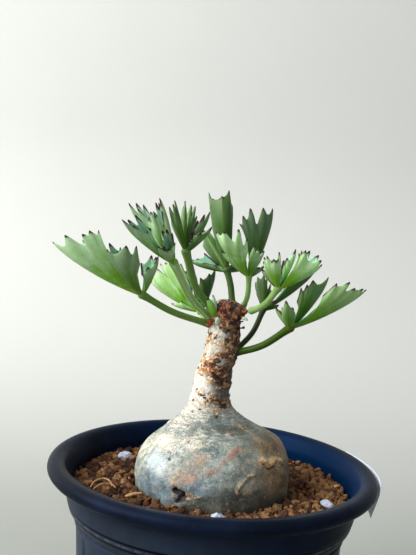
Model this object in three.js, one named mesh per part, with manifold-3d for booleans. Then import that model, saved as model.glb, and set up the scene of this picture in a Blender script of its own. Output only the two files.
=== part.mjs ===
// Potted caudex plant: a smooth swollen caudex with a short leaning stem, nine leaves of folded, toothed
// leaflets, and granular soil in a round plastic nursery pot.
// Millimetres, +Z up. The origin is the centre of the pot's flat base, and the front of the plant faces -Y.
import * as THREE from 'three';
import { mergeVertices } from 'three/addons/utils/BufferGeometryUtils.js';
import Module from 'manifold-3d';

const wasm = await Module();
wasm.setup();

// Clearance between neighbouring pieces
const GAP = 0.3;

// Pot
const POT_HEIGHT = 92;
const BASE_RADIUS = 37.2;
const SHOULDER_RADIUS = 42.7;
const SHOULDER_HEIGHT = 72.9;
const COLLAR_RADIUS = 46.1;
const LIP_RADIUS = 52.5;
const LIP_CENTRE = 50;
const LIP_HALF_HEIGHT = 2.1;
const WALL = 1.1;
const FLOOR = 2;
const POT_SIDES = 36;
const PANEL_GROOVES = 8;
const GROOVE_WIDTH = 2.2;
const GROOVE_DEPTH = 0.5;
const GROOVE_TOP = 72;
const GROOVE_BOTTOM = 4;
const FIRST_GROOVE = 33;
const DRAIN_HOLES = 6;
const DRAIN_RADIUS = 3;
const DRAIN_CIRCLE = 25;

// Blank tag round the outside of the lip
const TAG_FROM = -12;
const TAG_TO = 25;
const TAG_TOP = 91;
const TAG_BEND = 87.6;
const TAG_FOOT = 79.5;
const TAG_TUCK = 2;
const TAG_THICKNESS = 0.6;

// Soil
const SOIL_LEVEL = 83.2;
const SOIL_RADIUS = 44.6;
const GRAIN_RELIEF = 1.5;
const GRAIN_SPACING = 4.2;
const GRAIN_SEED = 11;
const SOIL_SIDES = 48;
const SOIL_RINGS = 7;
const HOLE_RADIUS = 25.5;
const HOLE_TOP = 80;
const HOLE_CLEARANCE = 0.5;

// Pale pumice stones sunk in the soil
const PUMICE = [
  { centre: [-31.8, 20, 84], size: [5.2, 3.6, 3.4], turn: 25, seed: 3 },
  { centre: [2.7, -28.6, 83.8], size: [4.4, 3, 3], turn: 10, seed: 5 },
  { centre: [36.2, -11.4, 84], size: [5, 3.2, 2.8], turn: -35, seed: 8 },
];

// Caudex and stem
const CAUDEX_RADIUS = 25;
const CAUDEX_FOOT = 62;
const CROWN_HEIGHT = 144.2;
const CAUDEX_SIDES = 28;
const CAUDEX_RINGS = 30;

// Radius of the caudex, neck, stem and crown as [radius, height]
const CAUDEX_PROFILE = [
  [0, CAUDEX_FOOT], [5, 62.4], [10.5, 64], [15.6, 67], [19.6, 71], [22.8, 76], [24.5, 81],
  [CAUDEX_RADIUS, 86], [24.8, 90], [23.5, 94], [21.2, 97.3], [18, 100.3], [14.3, 102.8], [10.9, 104.9],
  [8.6, 107.1], [7, 109.8], [6, 114], [5.6, 120], [5.4, 126], [5.2, 132], [4.8, 136], [4.6, 138.5],
  [4.4, 140.5], [3.7, 142.5], [2.4, 143.7], [0, CROWN_HEIGHT],
];

// Sideways position of the stem's centre line as [height, x]
const STEM_LEAN = [
  [92, 0], [97, 0.3], [100, 0.5], [104, -1.3], [108, -2.5], [114, -2.2], [121, -1.2], [126, 0.3],
  [134, 1], [CROWN_HEIGHT, 1.2],
];

// Knobs of the crown, old leaf scars and ridges of the caudex as [azimuth, height, rise, spread]
const KNOBS = [
  [-25, 140.8, 3.1, 1.9], [165, 136.2, 1.2, 1.8], [-95, 136.5, 0.9, 1.6], [60, 137.5, 1.3, 2],
  [-150, 141.5, 0.8, 1.5], [100, 130, 0.7, 1.8], [-60, 124, 0.5, 2.2], [-20, 116.5, 0.6, 2],
  [-165, 119, 0.5, 2], [-5, 102, 2.8, 5.5], [-30, 92, 0.8, 2.4], [-72, 97, 0.4, 4],
];

// Young shoots at the crown: each scale runs from its foot inside the stem to its tip
const BUDS = [
  {
    name: 'bud_left',
    scales: [
      { foot: [-2.8, -3.8, 138.2], tip: [-5.2, -6.3, 144.4], radius: 1.3 },
      { foot: [-2.8, -3, 138.5], tip: [-3.6, -3, 145.4], radius: 0.9 },
    ],
  },
  { name: 'bud_front', scales: [{ foot: [-1.6, -4.8, 135.8], tip: [-1, -7, 138.7], radius: 0.8 }] },
  { name: 'bud_right', scales: [{ foot: [6.2, -3.7, 138.3], tip: [8.1, -4.7, 137.9], radius: 0.6 }] },
];

// Leaf blades and petioles
const BLADE_THICKNESS = 0.7;
const BLADE_CUP = 8;
const BLADE_ROWS = 1;
const BLADE_START = 0.02;
const NOTCH_SPAN = 6;
const FAR_HALF = 0.93;
const RIB_BASE = 0.75;
const RIB_TIP = 0.4;
const RIB_SHARE = 0.93;
const JOINT_SWELL = 1.2;
const ROUND_SIDES = 6;
const PETIOLE_STEPS = 6;
const RIB_SIDES = 4;

// Leaves, with points chosen by hand, which scene.py repeats. A petiole is three points, from inside the
// stem to the joint of its leaflets. A leaflet's tip is the end of its midrib, open is the way its fold
// opens, fold is the angle of each half from there, and notch is how deep the notches cut, as a share of
// the reach. A half's teeth are [degrees from the midrib, reach], with the notch before the tooth as a
// third number where it differs. A half not given mirrors the other.
const LEAVES = [
  {
    name: 'leaf_a',
    petiole: [[-2.9, 1, 135.2], [-16, -5, 139], [-25.5, -10, 144]],
    radius: 1.15,
    leaflets: [
      {
        tip: [-52, -20, 157.5], open: [0.4, -0.1, 0.9], fold: 38, notch: 0.07,
        right: [[10, 28], [18, 25], [27, 23]],
        left: [[14.8, 30.7, 0.06], [22.7, 27.8, 0.12], [26.7, 27.5, 0], [31, 26.1, 0.04]],
      },
      {
        tip: [-35, -24, 156.5], open: [0.7, -0.2, 0.7], fold: 42, notch: 0.07,
        right: [[7, 22], [13, 18.5]],
        left: [[20.7, 23.5, 0.09], [26.7, 23.2, 0.12], [29.7, 15.6, 0]],
      },
      {
        tip: [-20.5, -14, 156], open: [-0.8, -0.3, 0.5], fold: 38, notch: 0.06,
        right: [[2, 12], [17, 10], [28, 8]],
        left: [[6, 13], [14, 13], [30, 10], [32, 6.5]],
      },
    ],
  },
  {
    name: 'leaf_b',
    petiole: [[-4.1, -0.5, 137.7], [-9.8, -5.3, 143.2], [-16, -14, 154.5]],
    radius: 1.25,
    leaflets: [
      {
        tip: [-30.5, -28, 165], open: [0.5, -0.3, 0.8], fold: 32, notch: 0.12,
        right: [[6, 21], [13, 20.5], [18, 14]],
        left: [[5, 19], [12, 15]],
      },
      {
        tip: [-31, -14, 171.5], open: [0.6, -0.3, 0.7], fold: 28, notch: 0.14,
        right: [[7, 21.5], [11, 20], [15, 16.5]],
        left: [[7, 19.5], [12, 15.5]],
      },
      {
        tip: [-23, -22, 168.5], open: [0.1, 1, 0.1], fold: 48, notch: 0.1,
        right: [[12, 15.5], [24, 12.5]],
        left: [[6, 16], [13, 12]],
      },
      {
        tip: [-21.5, -12, 174], open: [-0.8, -0.6, 0.1], fold: 36, notch: 0.16,
        right: [[4, 16], [8, 11]],
        left: [[4, 19], [7, 19.5], [12, 17], [19, 9.5]],
      },
      {
        tip: [-18, -24, 164], open: [0.1, -1, 0.2], fold: 50, notch: 0.1,
        right: [[8, 13], [13, 9]],
        left: [[8, 15], [16, 13]],
      },
      {
        tip: [-20, -26, 158.5], open: [0.5, -0.1, 0.9], fold: 40, notch: 0.14,
        left: [[8, 10.5], [15, 9.5], [26, 11]],
      },
    ],
  },
  {
    name: 'leaf_c',
    petiole: [[-3, 3.5, 139.5], [-9.5, -1, 147.5], [-13, -6, 158.5]],
    radius: 1.3,
    leaflets: [
      {
        tip: [-17.5, -14, 172], open: [0.1, 1, 0.1], fold: 45, notch: 0.14,
        right: [[11, 15.5], [24, 11]],
        left: [[6, 17], [9, 13]],
      },
      {
        tip: [-14.5, -6, 174.5], open: [0.2, 1, 0.1], fold: 35, notch: 0.1,
        right: [[14, 15], [22, 8]],
        left: [[3, 14], [7, 8]],
      },
      {
        tip: [-13, 2, 174.5], open: [0.2, 1, 0.1], fold: 40, notch: 0.16,
        right: [[6, 16.5], [11, 12]],
        left: [[7, 18], [13, 15], [18, 7.5]],
      },
      {
        tip: [-6, -8, 171], open: [-0.7, -0.4, 0.6], fold: 34, notch: 0.12,
        right: [[9, 12], [20, 7]],
        left: [[8, 13], [14, 10.5], [21, 6]],
      },
      {
        tip: [-5, -12, 166], open: [-0.7, -0.4, 0.6], fold: 34, notch: 0.12,
        right: [[16, 9.5], [32, 6.5]],
        left: [[13, 9.5], [30, 7], [40, 4]],
      },
    ],
  },
  {
    name: 'leaf_d',
    petiole: [[-2.5, 4.5, 135.5], [-5.5, 8, 137], [-7.5, 10, 139]],
    radius: 1.3,
    leaflets: [
      {
        tip: [-27, 18, 147.5], open: [0.5, 0, 0.9], fold: 35, notch: 0.04,
        left: [[10, 22.5], [18, 22], [23, 13]],
      },
      {
        tip: [-23.5, 16, 154], open: [0.7, 0, 0.7], fold: 38, notch: 0.06,
        left: [[10, 21.5], [24, 18], [28, 11]],
      },
      {
        tip: [-13.5, 16, 157], open: [0.2, 1, 0.1], fold: 40, notch: 0.05,
        left: [[5, 18], [9, 13], [13, 6]],
      },
      {
        tip: [-3.5, 16, 154], open: [-0.8, -0.2, 0.5], fold: 36, notch: 0.05,
        right: [[17, 13.5], [35, 12], [46, 7.5]],
      },
      {
        tip: [-18, 14, 140.5], open: [0, -0.5, 0.8], fold: 35, notch: 0.04,
        left: [[24, 7.5]],
      },
    ],
  },
  {
    name: 'leaf_e',
    petiole: [[3, 3, 142], [2, 5, 148.5], [0.5, 6, 153.5]],
    radius: 1.15,
    leaflets: [
      {
        tip: [-3, 6, 178.5], open: [0.1, 1, 0.1], fold: 44, notch: 0.05,
        right: [[12, 25.5], [16, 28.5], [20, 24.5], [26, 19.5], [32, 13]],
        left: [[8, 27.5], [13, 22.5], [17, 14]],
      },
      {
        tip: [-9, 18, 168], open: [0.1, 1, 0.1], fold: 50, notch: 0.04,
        right: [[18, 19], [26, 12]],
        left: [[6, 19], [14, 11]],
      },
      {
        tip: [-12.5, 14, 155.5], open: [0.2, -0.4, 0.9], fold: 30, notch: 0.05,
        right: [[5, 16], [10, 13.5], [25, 11.5], [29, 5]],
        left: [[12, 9], [21, 4.5]],
      },
      {
        tip: [6, 14, 154.5], open: [-0.4, -0.2, 0.9], fold: 40, notch: 0.08,
        right: [[28, 7], [60, 5]],
      },
    ],
  },
  {
    name: 'leaf_f',
    petiole: [[6.5, 0.3, 141.8], [7.5, -5, 146], [7.5, -7, 152]],
    radius: 0.9,
    leaflets: [
      {
        tip: [-4, -18, 164], open: [0.8, -0.2, 0.6], fold: 40, notch: 0.1,
        right: [[12, 16.5, 0.05], [27, 14.5, 0.18], [38, 10.5, 0.15]],
        left: [[13.6, 21.1, 0.05], [24.6, 21.5, 0.17], [30.8, 17, 0.22], [33, 13, 0]],
      },
      {
        tip: [14, -4, 174], open: [-0.9, 0, 0.4], fold: 40, notch: 0.08,
        right: [[15.2, 22.1, 0.06], [26.8, 21.6, 0.2], [33.7, 19.5, 0.07], [38.4, 17.3, 0.06]],
        left: [[12, 21.5, 0.06], [24, 21, 0.2], [32, 18, 0.07]],
      },
      {
        tip: [8, -14, 161], open: [0.1, 1, 0.1], fold: 52, notch: 0.07,
        right: [[6, 9.5], [12, 6]],
        left: [[15.7, 10, 0.1], [30, 9.4, 0.12], [33, 7.5, 0]],
      },
      {
        tip: [12.5, -2, 155.5], open: [-0.5, -0.1, 0.9], fold: 35, notch: 0.05,
        right: [[14, 5], [36, 3.5]],
      },
      {
        tip: [-2, -8, 159], open: [0.4, -0.2, 0.9], fold: 30, notch: 0.06,
        left: [[10, 10], [17, 7.5]],
      },
    ],
  },
  {
    name: 'leaf_g',
    petiole: [[7, -3.3, 140.2], [12.5, -8.5, 143.2], [16.5, -12, 149]],
    radius: 1.05,
    leaflets: [
      {
        tip: [14, -20, 157], open: [0.1, 1, 0.2], fold: 48, notch: 0.05,
        right: [[13, 12.5], [25, 11.5], [37, 9.5], [44, 5]],
        left: [[9, 11], [12, 13], [17, 6]],
      },
      {
        tip: [21.5, -10, 161], open: [-0.7, -0.2, 0.6], fold: 36, notch: 0.07,
        right: [[19, 9.6, 0.12], [25, 8, 0.1], [31, 4.5, 0]],
      },
      {
        tip: [28.5, -18, 156.5], open: [-0.5, -0.2, 0.8], fold: 36, notch: 0.12,
        right: [[11, 16.6, 0.06], [29.2, 16.4, 0.11], [33.5, 14.5, 0.07]],
        left: [[15, 16], [24, 15], [31, 13.5]],
      },
      {
        tip: [11, -12, 154], open: [0.3, -0.2, 0.9], fold: 38, notch: 0.05,
        left: [[21, 7.5], [31, 5]],
      },
    ],
  },
  {
    name: 'leaf_h',
    petiole: [[4.5, 3, 126.5], [10.5, 8, 133], [14, 12, 141]],
    radius: 1,
    leaflets: [
      {
        tip: [13.5, 16, 153], open: [0.2, 1, 0.1], fold: 44, notch: 0.06,
        right: [[18, 13.5], [31, 14], [37, 10]],
        left: [[8, 11.5], [12, 9]],
      },
      {
        tip: [16.5, 18, 150], open: [0.1, 1, 0.1], fold: 40, notch: 0.04,
        right: [[9, 9.5], [14, 7]],
        left: [[11, 9.5], [17, 6]],
      },
      {
        tip: [32.5, 18, 156], open: [-0.6, 0, 0.8], fold: 36, notch: 0.05,
        right: [[7, 22], [17, 17.5]],
      },
      {
        tip: [19, 10, 142.5], open: [-0.3, -0.2, 0.9], fold: 38, notch: 0.05,
        right: [[27, 5.5], [43, 4.5]],
      },
    ],
  },
  {
    name: 'leaf_i',
    petiole: [[3.5, 0.3, 126.3], [13, -5, 130.2], [21, -11, 137]],
    radius: 1.2,
    leaflets: [
      {
        tip: [18.5, -20, 145], open: [0.1, 1, 0.2], fold: 48, notch: 0.04,
        right: [[20, 8.5], [40, 5]],
        left: [[15, 8.5], [32, 6], [45, 3.5]],
      },
      {
        tip: [16, -10, 142.5], open: [0.3, -0.2, 0.9], fold: 35, notch: 0.04,
        left: [[9, 6], [14, 4]],
      },
      {
        tip: [32.5, -8, 153], open: [-0.9, -0.1, 0.4], fold: 38, notch: 0.07,
        right: [[22.5, 16.6, 0.08], [27.5, 14.7, 0.05], [34.2, 13.3, 0.08], [37.5, 9, 0]],
        left: [[4, 17.5], [14, 16], [21, 12.5]],
      },
      {
        tip: [42.5, -16, 150], open: [-0.5, -0.2, 0.8], fold: 36, notch: 0.07,
        right: [[7.4, 25.1, 0.03], [12.6, 23.4, 0], [19, 23.7, 0.08], [25.1, 20.8, 0.04], [27.5, 15.5, 0]],
        left: [[7, 21.5], [15, 18.5]],
      },
    ],
  },
];

const rad = THREE.MathUtils.degToRad;
const point = ([x, y, z]) => new THREE.Vector3(x, y, z);

// Repeatable random numbers from 0 to 1
function draws(seed) {
  let state = seed;
  return () => {
    state = (state * 1664525 + 1013904223) % 4294967296;
    return state / 4294967296;
  };
}

// Value of a curve given as [position, value] points, eased from each point to the next
function along(points, position) {
  if (position <= points[0][0]) return points[0][1];
  for (let k = 1; k < points.length; k += 1) {
    const [start, from] = points[k - 1];
    const [end, to] = points[k];
    if (position <= end) return from + (to - from) * THREE.MathUtils.smoothstep(position, start, end);
  }
  return points.at(-1)[1];
}

// Indexed geometry with shared vertices and no triangle of zero width
function welded(geometry) {
  const bare = new THREE.BufferGeometry();
  bare.setAttribute('position', geometry.getAttribute('position').clone());
  if (geometry.index) bare.setIndex(geometry.index.clone());
  const merged = mergeVertices(bare, 1e-4);
  const kept = [];
  for (let k = 0; k < merged.index.count; k += 3) {
    const [a, b, c] = merged.index.array.slice(k, k + 3);
    if (a !== b && b !== c && c !== a) kept.push(a, b, c);
  }
  merged.setIndex(kept);
  return merged;
}

// Solid for cutting and joining
function solid(geometry) {
  const mesh = welded(geometry);
  return new wasm.Manifold(new wasm.Mesh({
    numProp: 3,
    vertProperties: new Float32Array(mesh.getAttribute('position').array),
    triVerts: new Uint32Array(mesh.index.array),
  }));
}

function geometryOf(body) {
  const mesh = body.getMesh();
  const geometry = new THREE.BufferGeometry();
  geometry.setAttribute('position', new THREE.BufferAttribute(new Float32Array(mesh.vertProperties), 3));
  geometry.setIndex(new THREE.BufferAttribute(new Uint32Array(mesh.triVerts), 1));
  geometry.computeVertexNormals();
  return geometry;
}

// Turned shape about Z from [radius, height] points
function turned(profile, sides) {
  const points = profile.map(([radius, height]) => new THREE.Vector2(radius, height));
  return new THREE.LatheGeometry(points, sides).rotateX(Math.PI / 2);
}

// Inner face of the pot from the mouth down to the floor as [radius, height]
const POT_INSIDE = [
  [47.8, 91.6], [46.5, 89.6], [COLLAR_RADIUS - WALL, 86.3], [COLLAR_RADIUS - WALL, 80.8],
  [44.2, 77.6], [SHOULDER_RADIUS - 0.3, 74.4], [SHOULDER_RADIUS - WALL, SHOULDER_HEIGHT - 1],
  [BASE_RADIUS - WALL, FLOOR],
];

// Rolled lip from its underside over the outer edge to the top
function lipArc() {
  const points = [];
  for (let angle = -75; angle <= 90; angle += 33) {
    points.push([
      LIP_CENTRE + (LIP_RADIUS - LIP_CENTRE) * Math.cos(rad(angle)),
      POT_HEIGHT - LIP_HALF_HEIGHT + LIP_HALF_HEIGHT * Math.sin(rad(angle)),
    ]);
  }
  return points;
}

function makePot() {
  const outside = [
    [0, 0], [BASE_RADIUS - 0.9, 0], [BASE_RADIUS, 0.9],
    [SHOULDER_RADIUS, SHOULDER_HEIGHT], [SHOULDER_RADIUS + 0.5, SHOULDER_HEIGHT + 0.2],
    [SHOULDER_RADIUS + 0.5, SHOULDER_HEIGHT + 1.3], [SHOULDER_RADIUS + 0.1, SHOULDER_HEIGHT + 1.5],
    [SHOULDER_RADIUS + 0.1, SHOULDER_HEIGHT + 2.1], [SHOULDER_RADIUS + 0.9, SHOULDER_HEIGHT + 2.3],
    [COLLAR_RADIUS - 0.8, 77.8], [COLLAR_RADIUS, 80.5], [COLLAR_RADIUS, 87.7],
  ];
  const profile = [...outside, ...lipArc(), ...POT_INSIDE, [0, FLOOR]];
  let pot = solid(turned(profile, POT_SIDES));
  const taper = Math.atan2(SHOULDER_RADIUS - BASE_RADIUS, SHOULDER_HEIGHT);
  const middle = (GROOVE_TOP + GROOVE_BOTTOM) / 2;
  const radius = BASE_RADIUS + Math.tan(taper) * middle;
  for (let k = 0; k < PANEL_GROOVES; k += 1) {
    const groove = new THREE.BoxGeometry(GROOVE_DEPTH * 2, GROOVE_WIDTH, GROOVE_TOP - GROOVE_BOTTOM);
    groove.rotateY(taper).translate(radius, 0, middle);
    groove.rotateZ(rad(FIRST_GROOVE) + (k * Math.PI * 2) / PANEL_GROOVES);
    pot = pot.subtract(solid(groove));
  }
  for (let k = 0; k < DRAIN_HOLES; k += 1) {
    const hole = new THREE.CylinderGeometry(DRAIN_RADIUS, DRAIN_RADIUS, FLOOR * 3, 10).rotateX(Math.PI / 2);
    hole.translate(DRAIN_CIRCLE, 0, 0).rotateZ((k * Math.PI * 2) / DRAIN_HOLES);
    pot = pot.subtract(solid(hole));
  }
  return geometryOf(pot);
}

// Shape of the caudex and stem at a ring and azimuth, grown outwards by a clearance
function caudexPoint(radius, height, azimuth, clearance) {
  let push = 0;
  for (const [angle, level, rise, spread] of KNOBS) {
    const turn = Math.atan2(Math.sin(azimuth - rad(angle)), Math.cos(azimuth - rad(angle)));
    const away = Math.hypot(turn * radius, height - level) / spread;
    push += rise * Math.exp(-away * away);
  }
  const stemShare = THREE.MathUtils.smoothstep(height, 104, 112);
  const bark = 0.16 * Math.sin(azimuth * 5 + height * 1.9) * Math.sin(height * 1.3 + azimuth * 2);
  const lobes = 0.012 * radius * Math.sin(azimuth * 2 + 0.7) * THREE.MathUtils.smoothstep(height, 80, 92);
  const reach = radius + push + bark * stemShare + lobes + clearance;
  return new THREE.Vector3(
    along(STEM_LEAN, height) + reach * Math.cos(azimuth),
    reach * Math.sin(azimuth),
    height,
  );
}

// Rings of the caudex and stem from foot to crown as [radius, height]
function caudexRings() {
  const points = CAUDEX_PROFILE.map(([radius, height]) => new THREE.Vector2(radius, height));
  const profile = new THREE.SplineCurve(points);
  return profile.getSpacedPoints(CAUDEX_RINGS).map(({ x, y }) => [Math.max(x, 0), y]);
}

function makeCaudex(clearance) {
  const rings = caudexRings();
  const geometry = turned(rings, CAUDEX_SIDES);
  const position = geometry.getAttribute('position');
  for (let k = 0; k < position.count; k += 1) {
    const ring = k % rings.length;
    const [radius, height] = rings[ring];
    if (radius > 0) {
      const azimuth = Math.atan2(position.getY(k), position.getX(k));
      const spot = caudexPoint(radius, height, azimuth, clearance);
      position.setXYZ(k, spot.x, spot.y, spot.z);
    } else {
      position.setXYZ(k, along(STEM_LEAN, height), 0, height + (ring > 0 ? clearance : -clearance));
    }
  }
  return geometry;
}

// Scattered grain centres on a shaken square grid as [x, y, size]
function grainCentres() {
  const random = draws(GRAIN_SEED);
  const centres = [];
  const count = Math.ceil(SOIL_RADIUS / GRAIN_SPACING);
  for (let row = -count; row <= count; row += 1) {
    for (let column = -count; column <= count; column += 1) {
      centres.push([
        (column + 0.7 * (random() - 0.5)) * GRAIN_SPACING,
        (row + 0.7 * (random() - 0.5)) * GRAIN_SPACING,
        0.45 + 0.55 * random(),
      ]);
    }
  }
  return centres;
}

// Height over the soil level at a spot: each grain is a rounded bump over its own centre
function grainHeight(centres, x, y) {
  const reach = GRAIN_SPACING * 0.75;
  let height = -0.5;
  for (const [centreX, centreY, size] of centres) {
    const away = Math.hypot(x - centreX, y - centreY) / reach;
    if (away < 1) height = Math.max(height, GRAIN_RELIEF * size * (1 - away * away));
  }
  return height;
}

function makeSoil() {
  const outside = POT_INSIDE.filter(([, height]) => height < SOIL_LEVEL).map(([radius, height]) => (
    [radius - GAP - 0.1, height === FLOOR ? height + GAP : height]
  ));
  const foot = [[0, FLOOR + GAP], ...outside.reverse()];
  const surface = [];
  for (let k = 0; k <= SOIL_RINGS; k += 1) {
    surface.push([THREE.MathUtils.lerp(SOIL_RADIUS, HOLE_RADIUS, k / SOIL_RINGS), SOIL_LEVEL]);
  }
  const hole = CAUDEX_PROFILE.filter(([, height]) => height < HOLE_TOP - 2).map(([radius, height]) => (
    [radius > 0 ? radius + HOLE_CLEARANCE : 0, height - HOLE_CLEARANCE]
  ));
  const profile = [...foot, ...surface, [HOLE_RADIUS, HOLE_TOP], ...hole.reverse()];
  const geometry = turned(profile, SOIL_SIDES);
  const position = geometry.getAttribute('position');
  const centres = grainCentres();
  for (let k = 0; k < position.count; k += 1) {
    const ring = (k % profile.length) - foot.length;
    if (ring >= 0 && ring <= SOIL_RINGS) {
      position.setZ(k, SOIL_LEVEL + grainHeight(centres, position.getX(k), position.getY(k)));
    }
  }
  let soil = solid(geometry);
  for (const pebble of PUMICE) soil = soil.subtract(solid(makeStone(pebble, GAP)));
  return geometryOf(soil);
}

// A rough stone: a shaken icosahedron stretched to its size and grown by a clearance
function makeStone({ centre, size, turn, seed }, clearance) {
  const random = draws(seed);
  const geometry = welded(new THREE.IcosahedronGeometry(1, 1));
  const position = geometry.getAttribute('position');
  for (let k = 0; k < position.count; k += 1) {
    const stretch = 0.86 + 0.28 * random();
    position.setXYZ(
      k,
      position.getX(k) * (size[0] * 0.5 * stretch + clearance),
      position.getY(k) * (size[1] * 0.5 * stretch + clearance),
      position.getZ(k) * (size[2] * 0.5 * stretch + clearance),
    );
  }
  return geometry.rotateZ(rad(turn)).translate(...centre);
}

// Closed plate whose corners are place(column, row, face), with the same triangles on both faces.
// The way from face 0 to face 1 is the row direction crossed with the column direction.
function plate(columns, rows, place) {
  const corners = [];
  const triangles = [];
  const corner = (column, row, face) => (face * (rows + 1) + row) * (columns + 1) + column;
  const quad = (a, b, c, d) => triangles.push(a, b, c, a, c, d);
  for (const face of [0, 1]) {
    for (let row = 0; row <= rows; row += 1) {
      for (let column = 0; column <= columns; column += 1) corners.push(place(column, row, face));
    }
  }
  for (let row = 0; row < rows; row += 1) {
    for (let column = 0; column < columns; column += 1) {
      const around = [[column, row], [column, row + 1], [column + 1, row + 1], [column + 1, row]];
      const [a, b, c, d] = around.map(([i, j]) => corner(i, j, 0));
      triangles.push(a, c, b, a, d, c);
      quad(...around.map(([i, j]) => corner(i, j, 1)));
    }
    quad(corner(0, row, 0), corner(0, row + 1, 0), corner(0, row + 1, 1), corner(0, row, 1));
    quad(
      corner(columns, row, 0),
      corner(columns, row, 1),
      corner(columns, row + 1, 1),
      corner(columns, row + 1, 0),
    );
  }
  for (let column = 0; column < columns; column += 1) {
    quad(corner(column, 0, 0), corner(column, 0, 1), corner(column + 1, 0, 1), corner(column + 1, 0, 0));
    quad(
      corner(column, rows, 0),
      corner(column + 1, rows, 0),
      corner(column + 1, rows, 1),
      corner(column, rows, 1),
    );
  }
  const geometry = new THREE.BufferGeometry().setFromPoints(corners);
  geometry.setIndex(triangles);
  return geometry;
}

// Outer edge of half a leaflet as [degrees, reach], from the tip over each tooth, with notches between
// that stand far enough apart
function outline(length, teeth, notch) {
  const points = [[0, length]];
  for (const [angle, reach, cut = notch] of teeth) {
    const [lastAngle, lastReach] = points.at(-1);
    if (cut > 0 && angle - lastAngle >= NOTCH_SPAN) {
      const depth = cut * Math.min(reach, lastReach);
      points.push([(angle + lastAngle) / 2, (reach + lastReach) / 2 - depth]);
    }
    points.push([angle, reach]);
  }
  return points;
}

// Half of a folded leaflet: rows run out from the joint, columns from the midrib to the side edge
function halfBlade(joint, axis, open, across, fold, edge) {
  const widest = edge.at(-1)[0];
  return plate(edge.length - 1, BLADE_ROWS, (column, row, face) => {
    const [angle, reach] = edge[column];
    const share = BLADE_START + ((1 - BLADE_START) * row) / BLADE_ROWS;
    const lean = rad(fold + BLADE_CUP * (1 - (2 * angle) / widest));
    const outward = open.clone().multiplyScalar(Math.cos(lean)).addScaledVector(across, Math.sin(lean));
    return joint.clone()
      .addScaledVector(axis, Math.cos(rad(angle)) * reach * share)
      .addScaledVector(outward, Math.sin(rad(angle)) * reach * share)
      .addScaledVector(axis.clone().cross(outward), (face - 0.5) * BLADE_THICKNESS);
  });
}

// Solids of one leaflet: its two halves and the midrib where they meet
function leafletSolids(joint, { tip, open, fold, notch, right, left }) {
  const span = point(tip).sub(joint);
  const length = span.length();
  const axis = span.clone().normalize();
  const upward = point(open);
  upward.addScaledVector(axis, -upward.dot(axis)).normalize();
  const across = axis.clone().cross(upward);
  const shorter = (teeth) => teeth.map(([angle, reach, ...cut]) => [angle, reach * FAR_HALF, ...cut]);
  const rightEdge = outline(length, right ?? shorter(left), notch);
  const leftEdge = outline(length, left ?? shorter(right), notch);
  const halves = [
    solid(halfBlade(joint, axis, upward, across, fold, rightEdge)),
    solid(halfBlade(joint, axis, upward, across.clone().negate(), fold, leftEdge)),
  ];
  const rib = new THREE.CylinderGeometry(RIB_TIP, RIB_BASE, length * RIB_SHARE, RIB_SIDES);
  rib.translate(0, (length * RIB_SHARE) / 2, 0);
  rib.applyQuaternion(new THREE.Quaternion().setFromUnitVectors(new THREE.Vector3(0, 1, 0), axis));
  rib.translate(joint.x, joint.y, joint.z);
  return [...halves, solid(rib)];
}

// Petiole with its swollen joint and leaflets, trimmed clear of the stem
function makeLeaf({ petiole, radius, leaflets }, stem) {
  const joint = point(petiole.at(-1));
  const section = new THREE.Shape();
  for (let k = 0; k < ROUND_SIDES; k += 1) {
    const angle = (k * Math.PI * 2) / ROUND_SIDES;
    if (k === 0) section.moveTo(radius, 0);
    else section.lineTo(radius * Math.cos(angle), radius * Math.sin(angle));
  }
  const extrudePath = new THREE.CatmullRomCurve3(petiole.map(point));
  const settings = { steps: PETIOLE_STEPS, extrudePath, bevelEnabled: false };
  const stalk = new THREE.ExtrudeGeometry(section, settings);
  const swelling = new THREE.SphereGeometry(radius * JOINT_SWELL, ROUND_SIDES, 4);
  swelling.translate(joint.x, joint.y, joint.z);
  const parts = [solid(stalk), solid(swelling)];
  for (const leaflet of leaflets) parts.push(...leafletSolids(joint, leaflet));
  return geometryOf(wasm.Manifold.union(parts).subtract(stem));
}

// Young shoot of one or more tapering scales, trimmed clear of the stem
function makeBud({ scales }, stem) {
  const parts = scales.map(({ foot, tip, radius }) => {
    const span = point(tip).sub(point(foot));
    const length = span.length();
    const profile = [[0, 0], [0.7, 0.12], [1, 0.4], [0.75, 0.75], [0.3, 0.94], [0, 1]];
    const scale = turned(profile.map(([wide, high]) => [wide * radius, high * length]), ROUND_SIDES);
    const upright = new THREE.Vector3(0, 0, 1);
    scale.applyQuaternion(new THREE.Quaternion().setFromUnitVectors(upright, span.normalize()));
    return solid(scale.translate(...foot));
  });
  return geometryOf(wasm.Manifold.union(parts).subtract(stem));
}

// Thin blank tag that follows the lip and tucks in below it
function makeTag() {
  const inner = LIP_RADIUS + GAP;
  const levels = [
    [inner - TAG_TUCK, TAG_FOOT], [inner - TAG_TUCK / 2, 83.5], [inner, TAG_BEND], [inner, TAG_TOP],
  ];
  const columns = 9;
  return plate(columns, levels.length - 1, (column, row, face) => {
    const azimuth = rad(TAG_FROM + ((TAG_TO - TAG_FROM) * column) / columns);
    const [radius, height] = levels[row];
    const reach = radius + (1 - face) * TAG_THICKNESS;
    return new THREE.Vector3(reach * Math.cos(azimuth), reach * Math.sin(azimuth), height);
  });
}

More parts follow.
